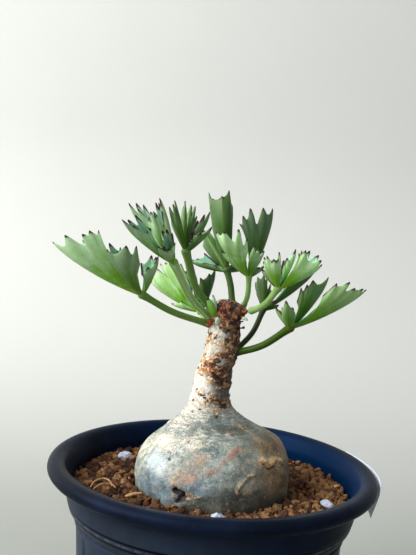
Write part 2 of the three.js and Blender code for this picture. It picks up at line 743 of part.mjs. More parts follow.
const plastic = new THREE.MeshStandardMaterial({ color: 0x1b2433, roughness: 0.42, metalness: 0 });
const earth = new THREE.MeshStandardMaterial({ color: 0x80532f, roughness: 0.95, metalness: 0 });
const skin = new THREE.MeshStandardMaterial({ color: 0xb9b49d, roughness: 0.75, metalness: 0 });
const foliage = new THREE.MeshStandardMaterial({ color: 0x6c9a58, roughness: 0.6, metalness: 0 });
const shoot = new THREE.MeshStandardMaterial({ color: 0x8aa45c, roughness: 0.6, metalness: 0 });
const stone = new THREE.MeshStandardMaterial({ color: 0xc9cfdb, roughness: 0.9, metalness: 0 });
const card = new THREE.MeshStandardMaterial({ color: 0xdfe6f2, roughness: 0.5, metalness: 0 });

const plant = new THREE.Group();

function add(name, geometry, material) {
  const mesh = new THREE.Mesh(geometry, material);
  mesh.name = name;
  plant.add(mesh);
}

const stemClearance = solid(makeCaudex(GAP));
add('pot', makePot(), plastic);
add('soil', makeSoil(), earth);
add('caudex', welded(makeCaudex(0)), skin);
PUMICE.forEach((pebble, k) => add(`pumice_${k + 1}`, makeStone(pebble, 0), stone));
for (const leaf of LEAVES) add(leaf.name, makeLeaf(leaf, stemClearance), foliage);
for (const bud of BUDS) add(bud.name, makeBud(bud, stemClearance), shoot);
add('tag', makeTag(), card);

export default plant;
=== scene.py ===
import math
import random

import bmesh
import bpy
import numpy as np
from mathutils import Matrix, Vector, noise


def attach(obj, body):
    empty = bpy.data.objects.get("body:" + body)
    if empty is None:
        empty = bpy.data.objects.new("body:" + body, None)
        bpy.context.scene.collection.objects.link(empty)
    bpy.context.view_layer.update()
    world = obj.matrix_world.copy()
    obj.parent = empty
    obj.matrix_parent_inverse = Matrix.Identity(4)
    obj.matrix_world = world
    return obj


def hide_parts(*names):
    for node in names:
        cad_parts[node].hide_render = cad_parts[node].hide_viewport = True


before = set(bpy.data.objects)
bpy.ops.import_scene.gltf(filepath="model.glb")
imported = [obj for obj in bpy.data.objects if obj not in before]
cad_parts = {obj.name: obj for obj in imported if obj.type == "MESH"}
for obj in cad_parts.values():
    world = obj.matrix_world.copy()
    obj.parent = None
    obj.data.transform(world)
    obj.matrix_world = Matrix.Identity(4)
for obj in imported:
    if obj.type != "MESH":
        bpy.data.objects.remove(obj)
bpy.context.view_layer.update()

# Potted caudex plant: pot, granular soil, caudex with its flaking stem, nine leaves and a blank tag.
# Shapes are in millimetres, in the CAD's frame, and scaled to metres where a mesh is made.
# Angles are in degrees, and colours are sRGB from 0 to 255.
MM = 0.001

# Camera, level with the leaves and looking slightly down on the pot's lip
CAMERA_ELEVATION, CAMERA_YAW, CAMERA_PITCH, CAMERA_ROLL = 17.3, -1.64, 0.15, 3.95
CAMERA_DISTANCE = 206.0
CAMERA_LENS = 38.92
LIP_CENTRE_HEIGHT = 90.0

# Lights as (name, position and size in metres, watts, linear colour), and the soft light all round
LIGHTS = [
    ("key", (-1.2, -0.46, 1.1), 1.7, 58, (1, 0.98, 0.95)),
    ("fill", (0.5, -0.7, 0.5), 0.7, 1, (0.92, 0.96, 1)),
]
LIGHT_TARGET = Vector((0, 0, 0.11))
SKY_COLOUR, SKY_STRENGTH = (0.9, 0.95, 1.0, 1), 0.28

# Backdrop: the floor's half width, where its bend starts, the bend's radius and the wall's height
FLOOR_EDGE, BEND_START, BEND_RADIUS, WALL_HEIGHT = 3000, 250, 350, 1500

# Pot, with its profiles as (radius, height)
POT_HEIGHT = 92.0
LIP_MIDDLE, LIP_RADIUS, LIP_HALF_HEIGHT = 50.0, 52.5, 2.1
POT_COLUMNS = 288
PANEL_GROOVES, FIRST_GROOVE = 8, 33.0
GROOVE_WIDTH, GROOVE_DEPTH = 2.2, 0.5
GROOVE_SPAN = (4.0, 72.0)
DRAIN_HOLES, DRAIN_RADIUS, DRAIN_CIRCLE = 6, 3.0, 25.0
POT_OUTSIDE = [
    (36.3, 0), (37.2, 0.9), (42.7, 72.9), (43.2, 73.1), (43.2, 74.2), (42.8, 74.4), (42.8, 75.0),
    (43.6, 75.2), (45.3, 77.8), (46.1, 80.5), (46.1, 87.7),
]
POT_INSIDE = [
    (47.8, 91.6), (46.5, 89.6), (45, 86.3), (45, 80.8), (44.2, 77.6), (42.4, 74.4), (41.6, 71.9), (36.1, 2),
]

# The pot's inside has painted light: it is bluer round the azimuth LIT_INSIDE, its lit side, within
# INSIDE_RADIUS. Its lip shows wear and a painted highlight round the azimuth WORN_SHEEN_LIP, and they set in
# between the two heights of WORN_SHEEN_SPAN.
LIT_INSIDE, INSIDE_RADIUS = 35, 49.0
WORN_SHEEN_LIP, WORN_SHEEN_HALF_WIDTH, WORN_SHEEN_SPAN = 260, 14, (88.5, 91)

# Tag: the azimuths that it spans, and its levels on the lip as (radius, height)
TAG_SPAN, TAG_TAPER, TAG_THICKNESS, TAG_COLUMNS = (-12, 25), 2.5, 0.25, 60
TAG_LEVELS = [(50.9, 79.6), (51.35, 81.5), (51.9, 83.6), (52.4, 85.6), (52.86, 87.6), (52.95, 88.8),
              (53.05, 90), (53.08, 91.1)]

# Soil: its bed, the lumps of a stone's skin as (scale, height), and the grains in layers of
# (tries, smallest, largest, low, high, detail, closeness)
SOIL_RADIUS, SOIL_HOLE, SOIL_BED, SOIL_COLUMNS = 44.6, 25.6, 81.7, 96
SOIL_OUTSIDE = [(0.4, 2.3), (36.0, 2.3), (41.2, 71.9), (42.0, 74.4), (43.8, 77.6), (SOIL_RADIUS, 80.8),
                (SOIL_RADIUS, SOIL_BED)]
CAUDEX_HOLE = [(25.4, 80), (23.3, 75.5), (20.1, 70.5), (16.1, 66.5), (11, 63.5), (5, 61.9), (0.4, 61.5)]
BED_RINGS = 24
GRAIN_TOP = 84.9
GRAIN_SEED = 5
GRAIN_ROUGHNESS, PUMICE_ROUGHNESS = 1.25, 0.35
STONE_LUMPS = [(1.9, 0.36), (4.0, 0.34), (7.5, 0.16)]
GRAIN_LAYERS = [
    (1500, 1.5, 2.1, 82.9, 83.6, 3, 0.85), (3500, 1.1, 1.6, 82.6, 84.0, 3, 0.82),
    (1200, 1.9, 2.6, 81.0, 81.8, 2, 0.7), (2500, 0.7, 1.1, 82.4, 84.2, 2, 0.85),
    (1500, 0.4, 0.7, 83.2, 84.4, 1, 0.9),
]

# The patch of red-brown fines as its middle x and y and its half widths
FINES = (30.5, -1.5, 4.5, 5.5)

# Dry litter on the soil as (points, half width, flatness): a chip, a curled strand in two, and a splinter
LITTER = [
    ([(-24.8, -21.6, 85.1), (-22.8, -20, 85.4), (-20.2, -18, 85.2)], 0.9, 0.35),
    ([(-36.4, -15.9, 84.8), (-36, -12.5, 85.4), (-34, -9.2, 85.5), (-31.6, -10.6, 85.4),
      (-30.2, -13.6, 84.9)], 0.35, 0.8),
    ([(-35.4, -16.4, 84.6), (-33.6, -13.8, 85.3), (-30.8, -12.6, 85.2), (-28.9, -14.6, 84.8)], 0.3, 0.8),
    ([(40.6, 2.2, 84.6), (41.6, 2.6, 85), (42.8, 3.2, 84.7)], 0.7, 0.5),
]
LITTER_STEPS = 24

# Pale stones as (centre, size, turn, seed)
PUMICE = {
    "pumice_1": ((-31.8, 20, 84), (5.2, 3.6, 3.4), 25, 3),
    "pumice_2": ((2.7, -28.6, 83.8), (4.4, 3, 3), 10, 5),
    "pumice_3": ((36.2, -11.4, 83.7), (4.8, 3.1, 2.7), -35, 8),
}

# Caudex and stem, as in the CAD: (radius, height), then (height, lean), then (azimuth, height, rise, spread)
CAUDEX_PROFILE = [
    (0, 62), (5, 62.4), (10.5, 64), (15.6, 67), (19.6, 71), (22.8, 76), (24.5, 81), (25, 86), (24.8, 90),
    (23.5, 94), (21.2, 97.3), (18, 100.3), (14.3, 102.8), (10.9, 104.9), (8.6, 107.1), (7, 109.8), (6, 114),
    (5.6, 120), (5.4, 126), (5.2, 132), (4.8, 136), (4.6, 138.5), (4.4, 140.5), (3.7, 142.5), (2.4, 143.7),
    (0, 144.2),
]
STEM_LEAN = [
    (92, 0), (97, 0.3), (100, 0.5), (104, -1.3), (108, -2.5), (114, -2.2), (121, -1.2), (126, 0.3),
    (134, 1), (144.2, 1.2),
]
KNOBS = [
    (-25, 140.8, 3.1, 1.9), (165, 136.2, 1.2, 1.8), (-95, 136.5, 0.9, 1.6), (60, 137.5, 1.3, 2),
    (-150, 141.5, 0.8, 1.5), (100, 130, 0.7, 1.8), (-60, 124, 0.5, 2.2), (-20, 116.5, 0.6, 2),
    (-165, 119, 0.5, 2), (-5, 102, 2.8, 5.5), (-30, 92, 0.8, 2.4), (-72, 97, 0.4, 4),
]
CAUDEX_COLUMNS = 256
SKIN_SEED = 5

# Heights on the caudex: the spacing of its rings below each height, the foot of the bark, the spans over
# which the stem and the neck set in and the neck ends, and the span over which the skin darkens towards the
# soil
RING_SPACING = [(79, 2.5), (106, 0.42), (math.inf, 0.3)]
BARK_FOOT = 107
STEM_SPAN, NECK_START, NECK_END, DARK_FOOT_SPAN = (106, 112), (99.5, 102.5), (108, 114), (82.8, 86)

# Areas of the skin as (azimuth, height, half width, half height, strength)
AREAS = {
    # Painted light: creamy pale on the lit left side of the bulb, neck and stem
    "painted_light_cream": [
        (-150, 104, 6, 4, 1), (-135, 108, 8, 6, 1), (-145, 99, 8, 4, 1), (-165, 96, 7, 5, 0.8),
        (-128, 117, 4.5, 6, 1), (-145, 122, 4, 6, 0.9), (-128, 131, 4, 5, 1), (-110, 112, 4, 4, 0.5),
        (-115, 101, 7, 4, 0.8), (-118, 127, 3.5, 3, 0.8), (-100, 98, 5, 2, 0.5), (-100, 134.5, 3, 2, 0.6),
        (-115, 136, 2.5, 2, 0.7),
    ],
    # Painted highlight, bluish white, on the bulb's lit left side
    "painted_highlight": [
        (-136, 94.5, 7, 4.5, 1.1), (-125, 98, 6, 4, 0.6), (-118, 94, 5, 3, 0.5), (-88, 91.5, 5, 2, 0.5),
    ],
    "blue": [
        (-131, 87, 10, 4.2, 1.1), (-142, 89, 5, 3, 0.8), (-99, 89.5, 8, 3, 0.9), (-90, 99, 7, 3, 0.5),
        (-89, 92.5, 6, 3, 0.5), (-80, 95, 6, 3, 0.4), (-75, 105.3, 6, 1.4, 0.6),
    ],
    "olive": [
        (-30, 92, 12, 9, 1), (-25, 100, 9, 5, 0.9), (-5, 96, 12, 12, 0.95), (-42, 87, 12, 5, 0.9),
        (20, 92, 16, 14, 0.7), (-38, 104, 7, 3, 0.5), (-66, 84, 14, 3, 0.6), (-60, 92, 6, 5, 0.4),
    ],
    "pink": [
        (-103, 97, 4, 3.4, 0.9), (-108, 92.5, 4.5, 4, 1), (-112, 89.4, 4, 2, 0.9), (-98, 94, 5, 2, 0.7),
        (-58, 103.3, 3, 1.2, 0.6), (-92, 94.6, 4, 1.6, 0.7), (-66, 99, 3, 2.5, 0.5),
    ],
    "tan": [
        (-140, 97.6, 7, 0.7, 0.7), (-42, 96.3, 4.6, 2, 1), (-33, 95.2, 4, 1.4, 0.9), (-24, 95.3, 2, 1, 0.8),
        (-22, 98.5, 5, 3, 0.5), (-106, 87.6, 5, 1, 0.8), (-35, 104.2, 2.2, 0.8, 0.6),
        (-42, 116, 2.4, 1.1, 1), (-96, 126.3, 3, 1.8, 0.8), (-70, 94, 3, 1.5, 0.4), (-76, 134.2, 4, 1.5, 1),
        (-92, 131.5, 2, 2.5, 0.6),
    ],
    "bark": [
        (-80, 125.8, 4, 2, 1), (-130, 122.8, 4, 2.2, 1.05), (-108, 122.4, 4, 2.8, 1.15),
        (-90, 121.4, 4, 3.4, 1.15), (-72, 120, 4, 3.8, 1.15), (-55, 119, 3.4, 3.4, 1.15),
        (-45, 126, 4, 4, 0.9), (-20, 128, 6, 9, 0.9), (-40, 133, 4, 4, 0.9), (-15, 136, 5, 4, 0.95),
        (-84, 134.8, 5, 2.2, 1.05), (-62, 130.4, 4, 4, 0.8), (-100, 131, 7, 4, 0.52),
        (-118, 134, 3, 2, 0.65), (-115, 112.9, 4, 1.5, 0.95), (-92, 111.9, 4, 1.6, 0.95),
        (-65, 110.9, 4, 2.4, 1), (-30, 118, 6, 6, 0.7), (30, 126, 8, 12, 0.6), (100, 124, 8, 12, 0.5),
        (-150, 130.4, 2, 4, 0.65), (-150, 120, 2, 1, 0.6), (180, 128, 8, 9, 0.5), (-20, 111, 5, 2, 0.6),
        (-138, 112, 2, 1, 0.4), (-90, 109, 4, 1, 0.4),
    ],
    "crown": [
        (-90, 141.5, 6, 4.4, 1.3), (90, 141.5, 8, 5, 1.3), (-25, 139.5, 5, 3.4, 1.3),
        (-160, 141, 5, 3.6, 1.2),
    ],
    "dark": [
        (-96, 124.4, 1.7, 0.8, 1), (-111, 123.1, 1.1, 0.8, 1), (-70, 121.5, 1.6, 1, 0.8),
        (-84, 119.4, 1.4, 0.9, 1), (-66, 118, 1.6, 1.2, 1), (-41, 117.8, 1, 0.7, 1.1),
        (-47, 110.2, 1.6, 1, 1), (-70, 111.6, 2, 0.9, 0.7), (-41, 131, 1.4, 2.6, 0.8),
        (-25, 126, 1.6, 3, 0.8), (-92, 135, 1, 0.7, 0.8), (-30, 121, 1.3, 2, 0.8), (-14, 131, 1.6, 5, 0.8),
        (-118, 142, 1.4, 1.6, 0.7), (-60, 141, 1.6, 2.4, 0.7), (-32, 138.6, 2.2, 1.4, 0.8),
        (-154, 129.6, 0.7, 0.6, 0.9), (-153, 131.8, 0.6, 0.8, 0.8), (-134, 119.1, 1, 0.4, 0.9),
        (-138, 114.8, 0.7, 0.5, 0.8), (-155, 110.6, 0.6, 0.5, 0.8), (-129, 108, 0.5, 1.2, 0.8),
        (-110, 108.9, 1, 0.5, 0.8), (-92, 103.3, 0.8, 0.5, 0.9), (-69, 107.2, 0.9, 0.6, 0.9),
        (-130, 95.9, 0.6, 0.96, 1), (-126, 96, 0.9, 0.64, 1), (-61, 103.4, 0.6, 0.5, 0.8),
        (-50, 104, 0.6, 0.5, 0.8), (-118, 100.4, 0.6, 0.4, 0.9), (-137, 89.5, 0.6, 0.7, 0.9),
        (-43, 105.6, 0.6, 0.5, 0.8), (-125, 131.5, 0.5, 0.7, 0.7), (-104, 114.7, 0.8, 0.4, 0.6),
    ],
    # Painted shade: the bulb's lower band, the crease below the neck and the bulb's right side
    "painted_shade": [
        (-80, 84.6, 18, 3.4, 1.2), (-66, 87.6, 12, 2.4, 1), (-97, 86.4, 9, 1.8, 1), (-72, 104, 7, 0.9, 0.9),
        (-95, 104.4, 5, 0.6, 0.7), (-50, 103.6, 4, 0.9, 0.7), (-40, 84, 14, 3, 0.8), (10, 88, 14, 8, 0.6),
        (-75, 88.5, 8, 1.4, 0.6), (-100, 86.4, 8, 1.2, 0.6),
    ],
    # The hole is sunk, and painted shade darkens it
    "hole": [
        (-113.5, 88, 1.9, 1.2, 1.2), (-109.3, 87.5, 1.6, 1.1, 1.1), (-110.5, 86, 1.6, 1.3, 0.9),
    ],
}

# Scars of the skin as points of azimuth and height, half width, rise, the area they colour, and how much
SCARS = [
    ([(-94, 93.8), (-87, 95.4), (-78, 98.2), (-68, 100)], 0.9, 0.1, "wound", 0.6),
    ([(-77, 98.2), (-72, 99.6), (-67, 100.4)], 1.1, 0.12, "wound", 1.0),
    ([(-92, 94.2), (-86, 95.4)], 1.3, 0.0, "wound", 0.6),
    ([(-62, 103), (-58, 104)], 1.2, 0.0, "wound", 0.6),
    ([(-40, 104.8), (-36, 103.8), (-31, 102.7)], 0.45, 0.8, "tan", 1.4),
    ([(-31, 102.7), (-36, 101), (-42, 99.6), (-45, 98), (-46, 96.6)], 0.35, 0.35, "tan", 0.9),
    ([(-32, 102.2), (-37, 100.6), (-43, 99.2), (-46.5, 97.6)], 0.3, -0.25, "dark", 0.55),
    ([(-47, 97.4), (-42, 95.6), (-33, 96.4), (-24, 95.6)], 0.85, 1.0, "tan", 1.3),
    ([(-47, 96), (-43, 94.3), (-36, 94.7), (-26, 94.2)], 0.35, -0.35, "dark", 0.8),
    ([(-58, 93.6), (-63, 93.6), (-70, 91), (-72.5, 89.6), (-71, 89)], 0.34, 0.55, "tan", 1.3),
    ([(-60, 92.4), (-67, 91.6), (-71, 89.4)], 0.3, -0.2, "dark", 0.45),
    ([(-37, 104.1), (-33, 103.1)], 0.3, 0.1, "dark", 1.0),
    ([(-108, 87.4), (-96, 87), (-84, 87.8), (-70, 87.4)], 0.2, -0.15, "dark", 0.5),
    ([(-96, 95.5), (-85, 94.2), (-72, 94.6), (-62, 96.5)], 0.22, -0.1, "dark", 0.4),
    ([(-116, 85.5), (-115.5, 88), (-116.5, 91.5), (-113, 93)], 0.4, 0.25, "tan", 1.0),
    ([(-106, 86.4), (-100, 87.5), (-95, 88.5)], 0.35, 0.2, "tan", 0.8),
    ([(-147, 97.2), (-140, 97.8), (-133, 97)], 0.45, 0.12, "tan", 0.7),
    ([(-50, 106), (-60, 105), (-72, 105.4)], 0.22, -0.12, "dark", 0.45),
    ([(-152, 93), (-146, 97.5), (-136, 99.4), (-124, 98), (-120, 94), (-124, 90.5)], 0.4, 0.1, "tan", 0.65),
    ([(-150, 88), (-149, 92), (-146, 94.5)], 0.35, 0.1, "tan", 0.6),
    ([(-90, 104.2), (-75, 103.6), (-60, 104.6)], 0.2, -0.1, "dark", 0.4),
    ([(-120, 104.6), (-105, 104), (-92, 104.8)], 0.2, -0.1, "dark", 0.35),
]

# Large peeling flakes of the stem as (azimuth, height, width, height of the flake, lift, turn)
PEELING = [
    (-20, 134.6, 1.8, 3.2, 1.5, 10), (-28, 131.5, 1.6, 2.2, 0.5, -15), (-14, 137, 1.2, 1.6, 0.9, 30),
    (-98, 123, 2.4, 1.4, 0.5, 0), (-118, 122.6, 2, 1.2, 0.45, 20), (-88, 135.2, 2.2, 1.3, 0.45, -10),
    (-155, 130, 1, 1.4, 0.5, 0), (-156, 132.6, 0.9, 1.6, 0.6, 10), (-122, 142.6, 1, 1.6, 0.8, 0),
    (-44, 116.2, 2.2, 1.5, 0.4, -10), (-80, 126.4, 3, 1.6, 0.5, 12), (-68, 118.6, 2, 1.6, 0.6, -20),
    (-150, 121, 1, 1.4, 0.4, 0), (-35, 123.5, 1.6, 2, 0.5, 10), (-84, 120.8, 1.8, 1.5, 0.5, 15),
    (-104, 120.6, 1.6, 1.2, 0.4, -15), (-58, 121, 2, 1.6, 0.5, 10), (-75, 131, 1.2, 3, 0.3, 35),
    (-105, 112.6, 2, 1, 0.35, 0), (-70, 111.4, 2.2, 1.2, 0.4, -8), (-56, 110, 1.8, 1, 0.4, 0),
]

# Small flakes are scattered by a rule between two heights, and fewer lie on the lit foot of the stem
SMALL_FLAKES, FLAKE_SEED, FLAKE_SPAN = 80, 21, (109, 142)
LIT_FOOT, LIT_SIDE, LIT_SHARE = 119, (-160, -80), 0.75
FLAKE_POINTS, FLAKE_THICKNESS = 5, 0.1

# Rust-coloured scales at the foot of the petioles as (foot, tip, radius)
RUST_SCALES = [
    ((-3.4, -2.6, 136.2), (-4.7, -3.7, 137.4), 1), ((-3.8, -1.8, 135), (-5.3, -2.4, 135.7), 0.85),
    ((-3, -3.8, 135.7), (-4.1, -4.7, 136.5), 0.8), ((-2.4, -4.3, 136.8), (-3.2, -5.2, 137.5), 0.6),
    ((5.6, -3, 139), (7.4, -3.9, 138.8), 0.8), ((5.8, -2.4, 141), (7.5, -3.4, 141.7), 0.7),
]

# Leaves, as in the CAD: petiole points, petiole radius and leaflets. A leaflet is (tip, the way it opens,
# fold, notch depth, teeth of its right half, teeth of its left half), and a half of None mirrors the other.
# A tooth is (angle from the tip, reach) and may have a notch depth of its own.
LEAVES = {
    "leaf_a": ([(-2.9, 1, 135.2), (-16, -5, 139), (-25.5, -10, 144)], 1.15, [
        ((-52, -20, 157.5), (0.4, -0.1, 0.9), 38, 0.07, [(10, 28), (18, 25), (27, 23)],
         [(14.8, 30.7, 0.06), (22.7, 27.8, 0.12), (26.7, 27.5, 0), (31, 26.1, 0.04)]),
        ((-35, -24, 156.5), (0.7, -0.2, 0.7), 42, 0.07, [(7, 22), (13, 18.5)],
         [(20.7, 23.5, 0.09), (26.7, 23.2, 0.12), (29.7, 15.6, 0)]),
        ((-20.5, -14, 156), (-0.8, -0.3, 0.5), 38, 0.06, [(2, 12), (17, 10), (28, 8)],
         [(6, 13), (14, 13), (30, 10), (32, 6.5)]),
    ]),
    "leaf_b": ([(-4.1, -0.5, 137.7), (-9.8, -5.3, 143.2), (-16, -14, 154.5)], 1.25, [
        ((-30.5, -28, 165), (0.5, -0.3, 0.8), 32, 0.12, [(6, 21), (13, 20.5), (18, 14)],
         [(5, 19), (12, 15)]),
        ((-31, -14, 171.5), (0.6, -0.3, 0.7), 28, 0.14, [(7, 21.5), (11, 20), (15, 16.5)],
         [(7, 19.5), (12, 15.5)]),
        ((-23, -22, 168.5), (0.1, 1, 0.1), 48, 0.1, [(12, 15.5), (24, 12.5)], [(6, 16), (13, 12)]),
        ((-21.5, -12, 174), (-0.8, -0.6, 0.1), 36, 0.16, [(4, 16), (8, 11)],
         [(4, 19), (7, 19.5), (12, 17), (19, 9.5)]),
        ((-18, -24, 164), (0.1, -1, 0.2), 50, 0.1, [(8, 13), (13, 9)], [(8, 15), (16, 13)]),
        ((-20, -26, 158.5), (0.5, -0.1, 0.9), 40, 0.14, None, [(8, 10.5), (15, 9.5), (26, 11)]),
    ]),
    "leaf_c": ([(-3, 3.5, 139.5), (-9.5, -1, 147.5), (-13, -6, 158.5)], 1.3, [
        ((-17.5, -14, 172), (0.1, 1, 0.1), 45, 0.14, [(11, 15.5), (24, 11)], [(6, 17), (9, 13)]),
        ((-14.5, -6, 174.5), (0.2, 1, 0.1), 35, 0.1, [(14, 15), (22, 8)], [(3, 14), (7, 8)]),
        ((-13, 2, 174.5), (0.2, 1, 0.1), 40, 0.16, [(6, 16.5), (11, 12)], [(7, 18), (13, 15), (18, 7.5)]),
        ((-6, -8, 171), (-0.7, -0.4, 0.6), 34, 0.12, [(9, 12), (20, 7)], [(8, 13), (14, 10.5), (21, 6)]),
        ((-5, -12, 166), (-0.7, -0.4, 0.6), 34, 0.12, [(16, 9.5), (32, 6.5)],
         [(13, 9.5), (30, 7), (40, 4)]),
    ]),
    "leaf_d": ([(-2.5, 4.5, 135.5), (-5.5, 8, 137), (-7.5, 10, 139)], 1.3, [
        ((-27, 18, 147.5), (0.5, 0, 0.9), 35, 0.04, None, [(10, 22.5), (18, 22), (23, 13)]),
        ((-23.5, 16, 154), (0.7, 0, 0.7), 38, 0.06, None, [(10, 21.5), (24, 18), (28, 11)]),
        ((-13.5, 16, 157), (0.2, 1, 0.1), 40, 0.05, None, [(5, 18), (9, 13), (13, 6)]),
        ((-3.5, 16, 154), (-0.8, -0.2, 0.5), 36, 0.05, [(17, 13.5), (35, 12), (46, 7.5)], None),
        ((-18, 14, 140.5), (0, -0.5, 0.8), 35, 0.04, None, [(24, 7.5)]),
    ]),
    "leaf_e": ([(3, 3, 142), (2, 5, 148.5), (0.5, 6, 153.5)], 1.15, [
        ((-3, 6, 178.5), (0.1, 1, 0.1), 44, 0.05,
         [(12, 25.5, 0.01), (16, 28.5, 0.02), (20, 24.5, 0.04), (26, 19.5), (32, 13)],
         [(8, 27.5, 0.02), (13, 22.5, 0.04), (17, 14)]),
        ((-9, 18, 168), (0.1, 1, 0.1), 50, 0.04, [(18, 19), (26, 12)], [(6, 19), (14, 11)]),
        ((-12.5, 14, 155.5), (0.2, -0.4, 0.9), 30, 0.05, [(5, 16), (10, 13.5), (25, 11.5), (29, 5)],
         [(12, 9), (21, 4.5)]),
        ((6, 14, 154.5), (-0.4, -0.2, 0.9), 40, 0.08, [(28, 7), (60, 5)], None),
    ]),
    "leaf_f": ([(6.5, 0.3, 141.8), (7.5, -5, 146), (7.5, -7, 152)], 0.9, [
        ((-4, -18, 164), (0.8, -0.2, 0.6), 40, 0.1, [(12, 16.5, 0.05), (27, 14.5, 0.18), (38, 10.5, 0.15)],
         [(13.6, 21.1, 0.05), (24.6, 21.5, 0.17), (30.8, 17, 0.22), (33, 13, 0)]),
        ((14, -4, 174), (-0.9, 0, 0.4), 40, 0.08,
         [(15.2, 22.1, 0.06), (26.8, 21.6, 0.2), (33.7, 19.5, 0.07), (38.4, 17.3, 0.06)],
         [(12, 21.5, 0.06), (24, 21, 0.2), (32, 18, 0.07)]),
        ((8, -14, 161), (0.1, 1, 0.1), 52, 0.07, [(6, 9.5), (12, 6)],
         [(15.7, 10, 0.1), (30, 9.4, 0.12), (33, 7.5, 0)]),
        ((12.5, -2, 155.5), (-0.5, -0.1, 0.9), 35, 0.05, [(14, 5), (36, 3.5)], None),
        ((-2, -8, 159), (0.4, -0.2, 0.9), 30, 0.06, None, [(10, 10), (17, 7.5)]),
    ]),
    "leaf_g": ([(7, -3.3, 140.2), (12.5, -8.5, 143.2), (16.5, -12, 149)], 1.05, [
        ((14, -20, 157), (0.1, 1, 0.2), 48, 0.05, [(13, 12.5), (25, 11.5), (37, 9.5), (44, 5)],
         [(9, 11), (12, 13), (17, 6)]),
        ((21.5, -10, 161), (-0.7, -0.2, 0.6), 36, 0.07, [(19, 9.6, 0.12), (25, 8, 0.1), (31, 4.5, 0)],
         None),
        ((28.5, -18, 156.5), (-0.5, -0.2, 0.8), 36, 0.12,
         [(11, 16.6, 0.06), (29.2, 16.4, 0.11), (33.5, 14.5, 0.07)], [(15, 16), (24, 15), (31, 13.5)]),
        ((11, -12, 154), (0.3, -0.2, 0.9), 38, 0.05, None, [(21, 7.5), (31, 5)]),
    ]),
    "leaf_h": ([(4.5, 3, 126.5), (10.5, 8, 133), (14, 12, 141)], 1, [
        ((13.5, 16, 153), (0.2, 1, 0.1), 44, 0.06, [(18, 13.5), (31, 14), (37, 10)], [(8, 11.5), (12, 9)]),
        ((16.5, 18, 150), (0.1, 1, 0.1), 40, 0.04, [(9, 9.5), (14, 7)], [(11, 9.5), (17, 6)]),
        ((32.5, 18, 156), (-0.6, 0, 0.8), 36, 0.05, [(7, 22), (17, 17.5)], None),
        ((19, 10, 142.5), (-0.3, -0.2, 0.9), 38, 0.05, [(27, 5.5), (43, 4.5)], None),
    ]),
    "leaf_i": ([(3.5, 0.3, 126.3), (13, -5, 130.2), (21, -11, 137)], 1.2, [
        ((18.5, -20, 145), (0.1, 1, 0.2), 48, 0.04, [(20, 8.5), (40, 5)], [(15, 8.5), (32, 6), (45, 3.5)]),
        ((16, -10, 142.5), (0.3, -0.2, 0.9), 35, 0.04, None, [(9, 6), (14, 4)]),
        ((32.5, -8, 153), (-0.9, -0.1, 0.4), 38, 0.07,
         [(22.5, 16.6, 0.08), (27.5, 14.7, 0.05), (34.2, 13.3, 0.08), (37.5, 9, 0)],
         [(4, 17.5), (14, 16), (21, 12.5)]),
        ((42.5, -16, 150), (-0.5, -0.2, 0.8), 36, 0.07,
         [(7.4, 25.1, 0.03), (12.6, 23.4, 0), (19, 23.7, 0.08), (25.1, 20.8, 0.04), (27.5, 15.5, 0)],
         [(7, 21.5), (15, 18.5)]),
    ]),
}

# Blades: teeth closer than NOTCH_SPAN have shallow notches, FAR_HALF is the reach of a mirrored half,
# BLADE_CUP opens a half towards its rib, FOLD_ROUND rounds the fold, MUCRO is how far a tooth's point
# stands out, BOW is the sag of the blade along its rib, and CURL is how far the lobes' tips curl inwards.
NOTCH_SPAN = 6
FAR_HALF = 0.93
BLADE_CUP = 8
FOLD_ROUND = 0.36
MUCRO = 0.5
BOW = 0.045
CURL = 0.8
BLADE_SHARES = [0.02, 0.08, 0.16, 0.26, 0.36, 0.46, 0.56, 0.65, 0.74, 0.82, 0.88, 0.93, 0.965, 0.99, 1.0]
BLADE_THICKNESS = ([0, 0.15, 0.5, 0.88, 0.965, 0.99, 1], [1.1, 0.95, 0.72, 0.55, 0.46, 0.34, 0.12])
RIB_STEPS, RIB_SIDES, RIB_REACH = 12, 10, 0.9
PETIOLE_STEPS, PETIOLE_SIDES = 42, 32

# The leaf whose petiole has a groove, and the way that it faces
GROOVED = "leaf_b"
GROOVE_WAY = Vector((0.35, -0.93, 0.1))

# Share of a petiole that is sunk in the crown's bark, and how it swells where it comes out
SUNK = {"leaf_g": 0.11, "leaf_f": 0.05}
SUNK_START = (0.45, 0.8, 0.96)

# Leaflets with more painted shade than the rest of their leaf
LEAFLET_SHADES = {
    ("leaf_a", 1): 0.7, ("leaf_a", 2): 0.5, ("leaf_f", 1): 0.95, ("leaf_f", 2): 0.35, ("leaf_f", 3): 0.8,
    ("leaf_g", 3): 0.7, ("leaf_d", 2): 0.9, ("leaf_d", 3): 0.8, ("leaf_b", 1): 0.2, ("leaf_i", 2): 0.2,
    ("leaf_g", 0): 0.15, ("leaf_f", 4): 0.5, ("leaf_i", 3): -0.2,
}

# Leaflets whose own tip is blunt, and half its width
BLUNT_TIPS = {
    ("leaf_e", 0): 1.2, ("leaf_g", 0): 1.1, ("leaf_f", 2): 0.7, ("leaf_i", 0): 0.6, ("leaf_c", 2): 0.6,
    ("leaf_f", 1): 0.6, ("leaf_g", 1): 0.5, ("leaf_d", 0): 0.5,
}

# Paleness of each petiole, painted shade of each leaf's blades, which also darkens its petiole where that is
# not pale, and how much of each blade's waxy bloom shows
LEAF_TONES = {
    "leaf_a": (0.3, 0.0, 0.8), "leaf_b": (0.85, 0.42, 0.8), "leaf_c": (0.6, 0.88, 0.5),
    "leaf_d": (0.9, 0.3, 0.4), "leaf_e": (0.45, 1.15, 0.2), "leaf_f": (0.95, 0.0, 0.8),
    "leaf_g": (1.0, 0.0, 0.6), "leaf_h": (0.0, 1.1, 0.1), "leaf_i": (0.0, 0.6, 0.3),
}

